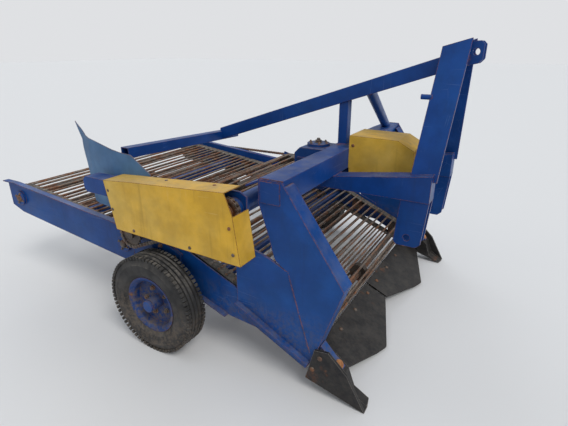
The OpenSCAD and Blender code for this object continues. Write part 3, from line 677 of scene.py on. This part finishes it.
def stack(rings, count, stretch=(1, 1), centre=(0, 0)):
    """A closed shape of round rings, each a radius and a height in millimetres."""
    return skin([[(u * stretch[0], v * stretch[1], h * MM)
                  for u, v in round_outline(r * MM, count, 0, centre)] for r, h in rings])


def template(name, shells):
    """An object that the trees copy; it is deleted when all is placed."""
    item = new_object(name + "_template", closed_mesh(shells))
    item.hide_render = True
    templates.append(item)
    return item


def joined(meshes):
    shell = bmesh.new()
    for mesh in meshes:
        shell.from_mesh(mesh)
    result = bpy.data.meshes.new("shape")
    shell.to_mesh(result)
    shell.free()
    return result


# %% Start and end of a tree
def geometry_tree(name, extra):
    """An empty geometry tree with its inputs, one of them a whole number of the given name."""
    tree = bpy.data.node_groups.new(name, "GeometryNodeTree")
    kinds = {"Geometry": "Geometry", "Template": "Object", extra: "Int", "Material": "Material"}
    for label, kind in kinds.items():
        tree.interface.new_socket(name=label, in_out="INPUT", socket_type="NodeSocket" + kind)
    tree.interface.new_socket(name="Geometry", in_out="OUTPUT", socket_type="NodeSocketGeometry")
    return tree, wire(tree, "NodeGroupInput")


def copies(tree, put, feeds):
    """Ends a tree: its template stands at all points, as real geometry with its material."""
    feeds["Instance"] = wire(tree, "GeometryNodeObjectInfo", {"Object": put["Template"]})["Geometry"]
    stand = wire(tree, "GeometryNodeInstanceOnPoints", feeds)
    real = wire(tree, "GeometryNodeRealizeInstances", {0: stand[0]})
    done = wire(tree, "GeometryNodeSetMaterial", {"Geometry": real[0], "Material": put["Material"]})
    wire(tree, "NodeGroupOutput", {"Geometry": done[0]})


# %% Walk along a path
walk, put = geometry_tree("walk_a_path", "Count")
path = wire(walk, "GeometryNodeMeshToCurve", {"Mesh": put["Geometry"]})[0]
even = wire(walk, "GeometryNodeResampleCurve", {"Curve": path, "Count": put["Count"]})[0]
tangent = wire(walk, "GeometryNodeInputTangent")[0]
ahead = wire(walk, "FunctionNodeAlignRotationToVector", {"Vector": tangent}, axis="X")[0]
copies(walk, put, {"Points": even, "Rotation": ahead})

# %% Stand at points
FULL_TURN = 6.283
plant, put = geometry_tree("stand_at_points", "Seed")
arrow = wire(plant, "GeometryNodeInputNamedAttribute", {"Name": "aim"}, data_type="FLOAT_VECTOR")[0]
scale_of = wire(plant, "GeometryNodeInputNamedAttribute", {"Name": "size"}, data_type="FLOAT")[0]
upright = wire(plant, "FunctionNodeAlignRotationToVector", {"Vector": arrow}, axis="Z")[0]
spin = wire(plant, "FunctionNodeRandomValue", {2: 0.0, 3: FULL_TURN, "Seed": put["Seed"]}, data_type="FLOAT")
about = wire(plant, "ShaderNodeCombineXYZ", {"Z": spin[1]})[0]
feeds = {"Rotation": upright, "Rotate By": about}
turned = wire(plant, "FunctionNodeRotateRotation", feeds, rotation_space="LOCAL")[0]
points = wire(plant, "GeometryNodeMeshToPoints", {"Mesh": put["Geometry"]})[0]
copies(plant, put, {"Points": points, "Rotation": turned, "Scale": scale_of})


# %% Run a tree
def evaluated(host):
    """The mesh of an object after its modifiers."""
    bpy.context.view_layer.update()
    return bpy.data.meshes.new_from_object(host.evaluated_get(bpy.context.evaluated_depsgraph_get()))


def grown(mesh, tree, **values):
    """Runs a tree on a mesh and gives back the result as a plain mesh."""
    host = new_object("host", mesh)
    modifier = host.modifiers.new("grow", "NODES")
    modifier.node_group = tree
    for item in tree.interface.items_tree:
        if item.in_out == "INPUT" and item.name in values:
            modifier[item.identifier] = values[item.name]
    result = evaluated(host)
    bpy.data.objects.remove(host)
    return result


print("trees", walk.name, plant.name)

# %% [markdown]
# ## The slot in the side plates
# Each side plate is a front strip that hangs from the beam and a lower plate behind it. Between the two a
# slot runs forwards and down from under the beam and ends in a point. The strip's rear edge is a slow
# curve, and what lies behind it is cut away from the solid before its edges are rounded. Outside, a ledge
# runs along the lower plate above its edge, in place of the plain strip that the solid has lower down.

# %% Side plates with their slot
STRIP_REAR = [(449, 735), (428, 672), (406, 608), (394, 560), (381, 524), (353, 504), (327, 489)]
LOWER_TOP = [(403, 523), (447, 538)]
LOW_OUTSIDE = [(215, 60), (600, 60), (600, 280), (215, 280)]
BEHIND = {"_right": [(503, 552), (499, 830)], "_left": [(520, 541), (620, 541), (620, 830)]}
LEDGE_FRONT, LEDGE_RISE = (225, 130), 0.512
LEDGE_DEPTHS = [(230, 0), (552, 0), (560, 4), (560, 8), (233, 8)]


def across(outline, y0, y1, side):
    """A shape over an outline in side view, between two places of the left side or their mirror."""
    return skin([[at(s, side * y, z) for s, z in outline] for y in (y0, y1)])


def add_bar(name, outline, y0, y1, side):
    """A rounded sheet or bar in the frame's blue."""
    mesh = closed_mesh([across(outline, y0, y1, side)])
    add_piece(name, mesh, blue_enamel, edge=BAR_EDGE)


def cut_away(knives):
    """A shape function that takes closed shapes away from a solid."""
    def shape(shell):
        solid = bpy.data.meshes.new("solid")
        shell.to_mesh(solid)
        host, knife = new_object("host", solid), new_object("knife", closed_mesh(knives))
        cut = host.modifiers.new("cut", "BOOLEAN")
        cut.operation, cut.solver, cut.object = "DIFFERENCE", "EXACT", knife
        result = evaluated(host)
        shell.clear()
        shell.from_mesh(result)
        merge(shell)
        for item in (host, knife):
            bpy.data.objects.remove(item)
    return shape


for ending, side in (("_right", -1), ("_left", 1)):
    slot = [(449, 830)] + STRIP_REAR + LOWER_TOP + BEHIND[ending]
    knives = [across(slot, PLATE_IN - 0.4, HALF_W + 1, side), across(LOW_OUTSIDE, HALF_W, HALF_W + 20, side)]
    dress("side_plate" + ending, blue_enamel, BAR_EDGE, cut_away(knives))
    ledge = [(s, LEDGE_FRONT[1] + LEDGE_RISE * (s - LEDGE_FRONT[0]) - down) for s, down in LEDGE_DEPTHS]
    add_bar("ledge" + ending, ledge, HALF_W - 0.2, HALF_W + 24, side)
print("slot from", STRIP_REAR[0], "to", STRIP_REAR[-1])

# %% [markdown]
# ## The rod webs
# A web is a conveyor made of steel rods. Each rod is forged flat at its ends and riveted to an endless
# rubber belt on either side, and soil falls through between the rods. The path of a belt is two arcs and
# two straight runs that touch them, so one function gives it, and the rods walk along its middle.

# %% The path round two wheels
def loop_path(a, b, ra, rb, off, count):
    """Evenly spaced places and outward directions round two wheels in side view, and the whole length."""
    (ax, az), (bx, bz) = (TIP_X - a[0], a[1]), (TIP_X - b[0], b[1])
    span = math.hypot(bx - ax, bz - az)
    tilt = math.asin((rb - ra) / span)
    run = math.atan2(bz - az, bx - ax)
    up, down = run + math.pi / 2 + tilt, run - math.pi / 2 - tilt
    straight = math.sqrt(span * span - (rb - ra) ** 2)
    ra, rb = ra + off, rb + off
    arc_b, arc_a = rb * (math.pi + 2 * tilt), ra * (math.pi - 2 * tilt)
    whole = 2 * straight + arc_a + arc_b
    stations = []
    for i in range(count):
        w = whole * i / count
        if w < straight:
            x, z, r, t, along = ax, az, ra, up, w
        elif w < straight + arc_b:
            x, z, r, t, along = bx, bz, rb, up - (w - straight) / rb, 0
        elif w < 2 * straight + arc_b:
            x, z, r, t, along = bx, bz, rb, down, w - straight - arc_b
        else:
            x, z, r, t, along = ax, az, ra, down - (w - 2 * straight - arc_b) / ra, 0
        x += r * math.cos(t) + along * math.cos(t - math.pi / 2)
        z += r * math.sin(t) + along * math.sin(t - math.pi / 2)
        stations.append((x * MM, z * MM, math.cos(t), math.sin(t)))
    return stations, whole


def path_mesh(stations, y):
    """A closed chain of edges through the stations at one side place."""
    count = len(stations)
    edges = [(i, (i + 1) % count) for i in range(count)]
    return new_mesh([(x, y * MM, z) for x, z, _, _ in stations], edges)


def belt(stations, inner, outer, y0, y1):
    """A closed belt of even thickness, cut off a little at its outer corners."""
    section = [(inner, y0), (inner, y1), (outer - 2, y1), (outer, y1 - 2), (outer, y0 + 2), (outer - 2, y0)]
    return skin([[(x + nx * off * MM, y * MM, z + nz * off * MM) for off, y in section]
                 for x, z, nx, nz in stations], endless=True)


# %% Rods with forged ends and rivets
ROD_R, RIVET_R = 5.5, 6.5
PAD_MID = WEB_HALF - BELT_W / 2
FORGED = [(-30, 5.5, 5.5), (-16, 8, 3.4), (18, 9, 3)]
RIVET_HEAD = [(RIVET_R, 2.0), (RIVET_R, 5.0), (RIVET_R * 0.6, 7.0)]


def rod_shells():
    """A rod along y, with x along the belt and z out of it."""
    circle = [(u, -v) for u, v in round_outline(1, 12)]
    shells = [skin([[(ROD_R * MM * u, y * MM, ROD_R * MM * v) for u, v in circle]
                    for y in (30 - PAD_MID, PAD_MID - 30)])]
    for side in (-1, 1):
        shells.append(skin([[(u * x * MM, side * (PAD_MID + y) * MM, v * z * MM) for u, v in SQUARE]
                            for y, x, z in FORGED]))
        shells += [stack(RIVET_HEAD, 8, centre=(0, side * (PAD_MID + y) * MM)) for y in (-8, 11)]
    return shells


rod_template = template("rod", rod_shells())


def rod_web(name, a, b, ra, rb):
    """The rods and belts of one web."""
    fine, length = loop_path(a, b, ra, rb, BELT_T / 2, 720)
    count = round(length / ROD_PITCH)
    rods = grown(path_mesh(fine, 0), walk, Template=rod_template, Count=count, Material=rod_rust)
    add_piece(name + "_rods", rods, rod_rust, stands_for=[name], sharp=40)
    arcs, _ = loop_path(a, b, ra, rb, 0, 260)
    sides = [belt(arcs, 0.2, BELT_T - 3, y, y + BELT_W) for y in (-WEB_HALF, WEB_HALF - BELT_W)]
    add_piece(name + "_belts", closed_mesh(sides), belt_rubber, sharp=30)
    print(name, "rods", count, "loop", round(length), "mm")


rod_web("main_web", MAIN_FRONT, MAIN_REAR, ROLLER_R, MAIN_DRIVE_R)
rod_web("cascade_web", CASCADE_FRONT, CASCADE_REAR, ROLLER_R, CASCADE_DRIVE_R)

# %% [markdown]
# ## Roller chains
# A roller chain alternates inner links, whose two plates hold the rollers, and outer links, whose plates
# sit outside them on the pins. Two templates in turn give both chains.

# %% Chain links
LINK_PITCH, LINK_END_R, PLATE_HALF = 19.05, 8.2, 0.9
CHAIN_LIFT = 5.0
# Where the plates stand, how narrow their waist is, and the radius, half length and corners of the pins.
LINKS = [("outer_link", 8.6, 6.0, 2.9, 10.6, 8), ("inner_link", 6.4, 5.4, 5.9, 5.5, 10)]


def prism_y(outline, y0, y1):
    """A straight prism along y over an outline in millimetres."""
    return skin([[(u * MM, y * MM, -v * MM) for u, v in outline] for y in (y0, y1)])


def link_outline(waist):
    """A link plate with round ends and a narrower waist, standing on edge along the path."""
    right, left = [[(way * LINK_PITCH / 2 + LINK_END_R * math.cos(math.radians(d)),
                     LINK_END_R * math.sin(math.radians(d))) for d in degrees]
                   for way, degrees in ((1, (-60, -20, 20, 60)), (-1, (120, 160, 200, 240)))]
    return [(u, -v) for u, v in reversed(right + [(0, waist)] + left + [(0, -waist)])]


link_templates = []
for name, plate_y, waist, pin_r, pin_y, corners in LINKS:
    shells = [prism_y(link_outline(waist), y - PLATE_HALF, y + PLATE_HALF) for y in (-plate_y, plate_y)]
    shells += [prism_y(round_outline(pin_r, corners, centre=(x, 0)), -pin_y, pin_y)
               for x in (-LINK_PITCH / 2, LINK_PITCH / 2)]
    link_templates.append(template(name, shells))


def roller_chain(name, a, b, ra, rb, y):
    """Every second station of the path takes an outer link, the others an inner link."""
    _, length = loop_path(a, b, ra, rb, CHAIN_LIFT, 8)
    pairs = round(length / LINK_PITCH / 2)
    stations, length = loop_path(a, b, ra, rb, CHAIN_LIFT, pairs * 24)
    halves = []
    for number, item in enumerate(link_templates):
        shifted = stations[number * 12:] + stations[:number * 12]
        halves.append(grown(path_mesh(shifted, y), walk, Template=item, Count=pairs, Material=drive_rust))
    add_piece(name + "_links", joined(halves), drive_rust, stands_for=[name], sharp=35)
    print(name, "links", 2 * pairs, "pitch", round(length / 2 / pairs, 2), "mm")


CHAIN_Y, CASCADE_CHAIN_Y = -744, 730
CHAIN_R1, CHAIN_R2, CASCADE_CHAIN_R = 40, 52, 40
roller_chain("drive_chain", DRIVE_AT, MAIN_REAR, CHAIN_R1, CHAIN_R2, CHAIN_Y)
roller_chain("cascade_chain", MAIN_REAR, CASCADE_REAR, CASCADE_CHAIN_R, CASCADE_CHAIN_R, CASCADE_CHAIN_Y)

# %% [markdown]
# ## Tyres
# The gauge wheels carry small ribbed tyres. The body is turned on a lathe, with three grooves round the
# tread and rings on the side walls, and short lugs walk round each shoulder.

# %% Turned bodies and shoulder lugs
TYRE_R, RIM_R = 225, 125
TYRE_STEPS, LUGS, LUG_STEPS, LUG_Y = 96, 72, 180, 42
LUG_R = TYRE_R - 9.5
# Half a section from the middle of the tread round the shoulder to the bead: depth below the tread, and y.
TREAD = [(1, 0), (1, 7), (8, 9), (8, 13), (1, 15), (2, 26), (9, 28), (9, 32), (4, 34), (9, 42)]
WALL = [(20, 49), (34, 53), (36, 55), (40, 55), (42, 53.5), (62, 54), (78, 51), (80, 49), (88, 45)]
BEAD_SEAT = [(RIM_R + 5, 38.6), (RIM_R - 3.6, 33)]
half = [(TYRE_R - depth, y) for depth, y in TREAD + WALL] + BEAD_SEAT
TYRE_PROFILE = half + [(r, -y) for r, y in reversed(half[1:])]
LUG_RINGS = [(6.6, 9, -9), (5.6, 8, 3)]
lug = skin([[(u * a * MM, v * b * MM, h * MM) for u, v in SQUARE] for a, b, h in LUG_RINGS])
lug_template = template("lug", [lug])


def around(radius, y, centre, t):
    """A place on a circle about the axle."""
    return (centre[0] + radius * MM * math.cos(t), centre[1] + y * MM, centre[2] + radius * MM * math.sin(t))


def tyre(name, side):
    centre = at(AXLE[0], side * AXLE[1], AXLE[2])
    turns = [2 * math.pi * k / TYRE_STEPS for k in range(TYRE_STEPS)]
    rings = [[around(r, side * y, centre, t) for r, y in TYRE_PROFILE] for t in turns]
    meshes = [closed_mesh([skin(rings, endless=True)])]
    for row in (-1, 1):
        turns = [2 * math.pi * (k + 0.25 * row) / LUG_STEPS for k in range(LUG_STEPS)]
        places = [around(LUG_R, 0, centre, t) for t in turns]
        ring = path_mesh([(x, z, 0, 0) for x, _, z in places], centre[1] / MM + row * LUG_Y)
        meshes.append(grown(ring, walk, Template=lug_template, Count=LUGS, Material=tyre_rubber))
    add_piece(name + "_ribbed", joined(meshes), tyre_rubber,
              name.replace("tyre", "wheel"), [name], sharp=32)


tyre("tyre_right", -1)
tyre("tyre_left", 1)
print("tyres", 2)

# %% [markdown]
# ## Bolts, rivets and weld beads
# A frame like this is welded, and everything that wears or turns is bolted on. The bolt's head is a
# hexagon with a bevelled top on a round washer, and its tip shows past the nut. Beads are laid along the
# seams as the welder would: one small puddle over the last.

# %% Bolt, dome and puddle templates
# Rings of radius and height. The bolt is a 10 mm one that stands on its seat with z outwards.
WASHER = [(10.0, -1.0), (10.5, 0.2), (10.5, 1.8), (9.8, 2.2)]
HEAD = [(9.2, 2.0), (9.2, 7.6), (8.2, 8.6)]
BOLT_TIP = [(5.0, 8.0), (5.0, 12.5), (4.2, 13.5)]
DOME = [(8.5, -0.6), (8.5, 0.6), (7.6, 2.4), (5.4, 4.0), (2.6, 4.8)]
PUDDLE = [(r * 3.6, h * 3.0) for r, h in [(1.0, -0.4), (1.0, 0.15), (0.78, 0.62), (0.4, 0.92)]]
bolt_template = template("bolt", [stack(WASHER, 20), stack(HEAD, 6), stack(BOLT_TIP, 12)])
dome_template = template("dome", [stack(DOME, 16)])
puddle_template = template("puddle", [stack(PUDDLE, 10, (0.9, 1.15))])
print("templates", len(templates))


# %% Placing fasteners
def fasteners(name, places, item, material=bolt_steel, body="frame"):
    """One piece with a template at every place; a place is a point, an outward arrow and a size."""
    mesh = new_mesh([tuple(p) for p, _, _ in places])
    aim = mesh.attributes.new("aim", "FLOAT_VECTOR", "POINT")
    aim.data.foreach_set("vector", [c for _, way, _ in places for c in way])
    scale = mesh.attributes.new("size", "FLOAT", "POINT")
    scale.data.foreach_set("value", [k for _, _, k in places])
    all_of_them = grown(mesh, plant, Template=item, Seed=len(places), Material=material)
    add_piece(name, all_of_them, material, body, sharp=35)
    print(name, len(places))


# %% Seats on a surface
RIGHT, LEFT, UP, FORWARD, BACK = (0, -1, 0), (0, 1, 0), (0, 0, 1), (1, 0, 0), (-1, 0, 0)
LOOK_FROM, LOOK_FAR = 0.25, 0.6


def seated(name, way, spots, size=1.0):
    """Places on a node's surface, found by looking at it against the outward way from each spot."""
    mesh, places = nodes[name].data, []
    surface = BVHTree.FromPolygons([v.co for v in mesh.vertices], [p.vertices for p in mesh.polygons])
    for spot in spots:
        point, normal, _, _ = surface.ray_cast(at(*spot) + Vector(way) * LOOK_FROM, -Vector(way), LOOK_FAR)
        if point:
            places.append((point, tuple(normal), size))
        else:
            print("no surface under", name, spot)
    return places


def ring_of(s, z, y, radius, count, turn=0.25):
    """Spots on a circle in side view."""
    return [(s + u, y, z + v) for u, v in round_outline(radius, count, turn)]


# %% Bolts and rivets of the frame
SIDES = [("_right", -1, RIGHT), ("_left", 1, LEFT)]
BRACKET_BOLTS = [(880, 412), (956, 452), (888, 318), (954, 318)]
SEAM_S, SEAM_BOLTS = (1122, 1166), (456, 482)
BEARING_BOLTS_R = 28
GUARD_RIVETS = [(1112, 620), (1124, 700), (496, 560), (508, 660), (1000, 545), (700, 540)]
bolts, rivets = [], []
for ending, side, way in SIDES:
    edge = side * HALF_W
    wall, rail, rims = "side_wall" + ending, "rear_rail" + ending, (CASCADE_FRONT, CASCADE_REAR)
    bolts += seated("wheel_bracket" + ending, way, [(s, edge, z) for s, z in BRACKET_BOLTS])
    bolts += seated(wall, way, ring_of(*MAIN_REAR, edge, BEARING_BOLTS_R, 4), 0.6)
    for name, s in zip((wall, rail), SEAM_S):
        bolts += seated(name, way, [(s, edge, z) for z in SEAM_BOLTS], 0.8)
    for place in rims:
        bolts += seated(rail, way, ring_of(*place, edge, BEARING_BOLTS_R, 4), 0.6)
    bolts += seated("gearbox", way, ring_of(*DRIVE_AT, side * 97, 49, 6), 0.7)
    rivets += [(at(s, side * 706, z), way, 2.4) for s, z in (rims[:1] if side > 0 else rims)]
    rivets += seated("point" + ending, way, [(214, edge, 112), (184, edge, 172)], 1.2)
    rivets += seated("pto_guard", way, [(336, side * 96, 700), (336, side * 96, 840)], 0.9)
    rivets += seated("share" + ending, UP, [(222, side * y, 120) for y in (70, 240, 410, 570)], 1.15)
bolts += seated("gearbox", BACK, [(465, side * 102, z) for side in (-1, 1) for z in (660, 728, 797)])
bolts += seated("gearbox", BACK, [(640, side * 58, z) for side in (-1, 1) for z in (652, 752)], 0.75)
bolts += seated("gearbox", UP, [(DRIVE_AT[0] + u, v, 814) for u, v in round_outline(43, 6)], 0.7)
bolts += seated("gearbox", UP, [(DRIVE_AT[0], 0, 814)], 1.7)
bolts += seated("gearbox", FORWARD, [(302, u, DRIVE_AT[1] + v) for u, v in round_outline(42, 4, 0.5)], 0.6)
rivets += seated("chain_guard", RIGHT, [(s, -800, z) for s, z in GUARD_RIVETS], 0.8)
rivets += seated("chain_guard", UP, [(s, -728, 800) for s in (620, 860)], 0.8)
rivets += seated("deflector", RIGHT, [(s, -700, 545) for s in (1012, 1090, 1168)], 0.9)
fasteners("hex_bolts", bolts, bolt_template)
fasteners("round_bolts", rivets, dome_template)

# %% Wheel bolts
for ending, side, way in SIDES:
    spots = [(AXLE[0] + u, side * AXLE[1], AXLE[2] + v) for u, v in round_outline(62, 5)]
    places = seated("rim" + ending, way, spots, 1.15)
    fasteners("rim_bolts" + ending, places, bolt_template, body="wheel" + ending)


# %% Weld beads
BEAD_STEP = 3.4
ARM_IN, ARM_OUT, LEG_Y, LEG_HALF = 175, 255, 216, 6
BEAM_FRONT, BEAM_REAR, BEAM_LOW, BEAM_TOP = 355, 445, 735, 825
LEG_FRONT, LEG_REAR = -50, 38
POST = [(398, -22, BEAM_TOP), (442, -22, BEAM_TOP), (442, 22, BEAM_TOP), (398, 22, BEAM_TOP)]
BRACKET_SEAMS = [((846, 430), (976, 488)), ((976, 488), (976, 372))]
PLATE_SEAM = [(327, 489), (276, 313), (231, 170)]


def bead(a, b, way, size=1.0):
    """Puddles along a straight seam from a to b, each a drawing place, with an arrow out of the corner."""
    (a, b), arrow = (at(*a), at(*b)), Vector(way).normalized()
    count = max(2, round((b - a).length / MM / BEAD_STEP))
    aside = (b - a).cross(arrow).normalized()
    places = []
    for i in range(count + 1):
        wobble = 0.0006 * noise.noise(Vector((i * 0.33, a.x * 9, a.z * 7)))
        swell = size * (1 + 0.16 * noise.noise(Vector((i * 0.9, a.y * 5, 3.3))))
        places.append((a.lerp(b, i / count) + aside * wobble, tuple(arrow), swell))
    return places


# %% Beads along the seams
# Heights of a hitch arm's upper side at the front and the rear of its mast leg.
TOP_FRONT, TOP_REAR = [790 - (s + 50) * 55 / 405 for s in (LEG_FRONT, LEG_REAR)]
beads = []
for _, side, way in SIDES:
    wall = side * PLATE_IN
    for z, lean in ((BEAM_LOW, -1), (BEAM_TOP, 1)):
        beads += bead((BEAM_FRONT, wall, z), (BEAM_REAR, wall, z), (0, -side, lean))
    beads += bead((BEAM_FRONT, wall, BEAM_LOW), (BEAM_FRONT, wall, BEAM_TOP), (1, -side, 0))
    for y, lean in ((ARM_IN, -1), (ARM_OUT, 1)):
        out = side * lean
        beads += bead((BEAM_FRONT, side * y, BEAM_LOW), (BEAM_REAR, side * y, BEAM_LOW), (0, out, -1))
        leg_y = side * (LEG_Y + lean * (LEG_HALF + 0.5))
        beads += bead((LEG_REAR, leg_y, TOP_REAR), (LEG_FRONT, leg_y, TOP_FRONT), (0, out, 1))
        beads += bead((LEG_FRONT, leg_y, 762), (LEG_FRONT, leg_y, 790), (1, out, 0))
    beads += bead((LEG_REAR, side * (LEG_Y - LEG_HALF), TOP_REAR),
                  (LEG_REAR, side * (LEG_Y + LEG_HALF), TOP_REAR), (-1, 0, 1))
    beads += bead((BEAM_FRONT, side * ARM_IN, BEAM_LOW), (BEAM_FRONT, side * ARM_OUT, BEAM_LOW), (1, 0, 1))
    for (s0, z0), (s1, z1) in BRACKET_SEAMS:
        beads += bead((s0, wall, z0), (s1, wall, z1), (z0 - z1, side * 120, abs(s1 - s0)), 0.9)
    seam = [(s, side * HALF_W, z) for s, z in PLATE_SEAM]
    beads += bead(seam[0], seam[1], way, 0.8) + bead(seam[1], seam[2], way, 0.8)
for a, b in zip(POST, POST[1:] + POST[:1]):
    beads += bead(a, b, UP, 0.9)
fasteners("weld_beads", beads, puddle_template, blue_enamel)

# %% [markdown]
# ## The tongue on each shoe
# A flat bar comes down from the flange of each side plate and holds the shoe. The large round bolt head
# in it lost its paint long ago and is orange with rust.

# %% Tongues and their bolts
TONGUE = [(196, 209), (151, 161), (109, 125)]
TONGUE_T, TONGUE_Y = 7, (650, 691)
BOLT_S, BOLT_Y, BOLT_Z = 121, 670, 144
BOLT_WAY, BOLT_SIZE = (0.694, 0, 0.72), 2.2
(s0, z0), (s1, z1) = TONGUE[0], TONGUE[-1]
thick = TONGUE_T / math.hypot(s1 - s0, z1 - z0)
outline = TONGUE + [(s + (z1 - z0) * thick, z + (s0 - s1) * thick) for s, z in reversed(TONGUE)]
tongue_bolts = []
for ending, side, _ in SIDES:
    add_bar("tongue" + ending, outline, *TONGUE_Y, side)
    tongue_bolts.append((at(BOLT_S, side * BOLT_Y, BOLT_Z), BOLT_WAY, BOLT_SIZE))
fasteners("tongue_bolts", tongue_bolts, dome_template, scaly_rust)

# %% Sizes and finish
for item in templates:
    bpy.data.objects.remove(item)
low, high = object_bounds()
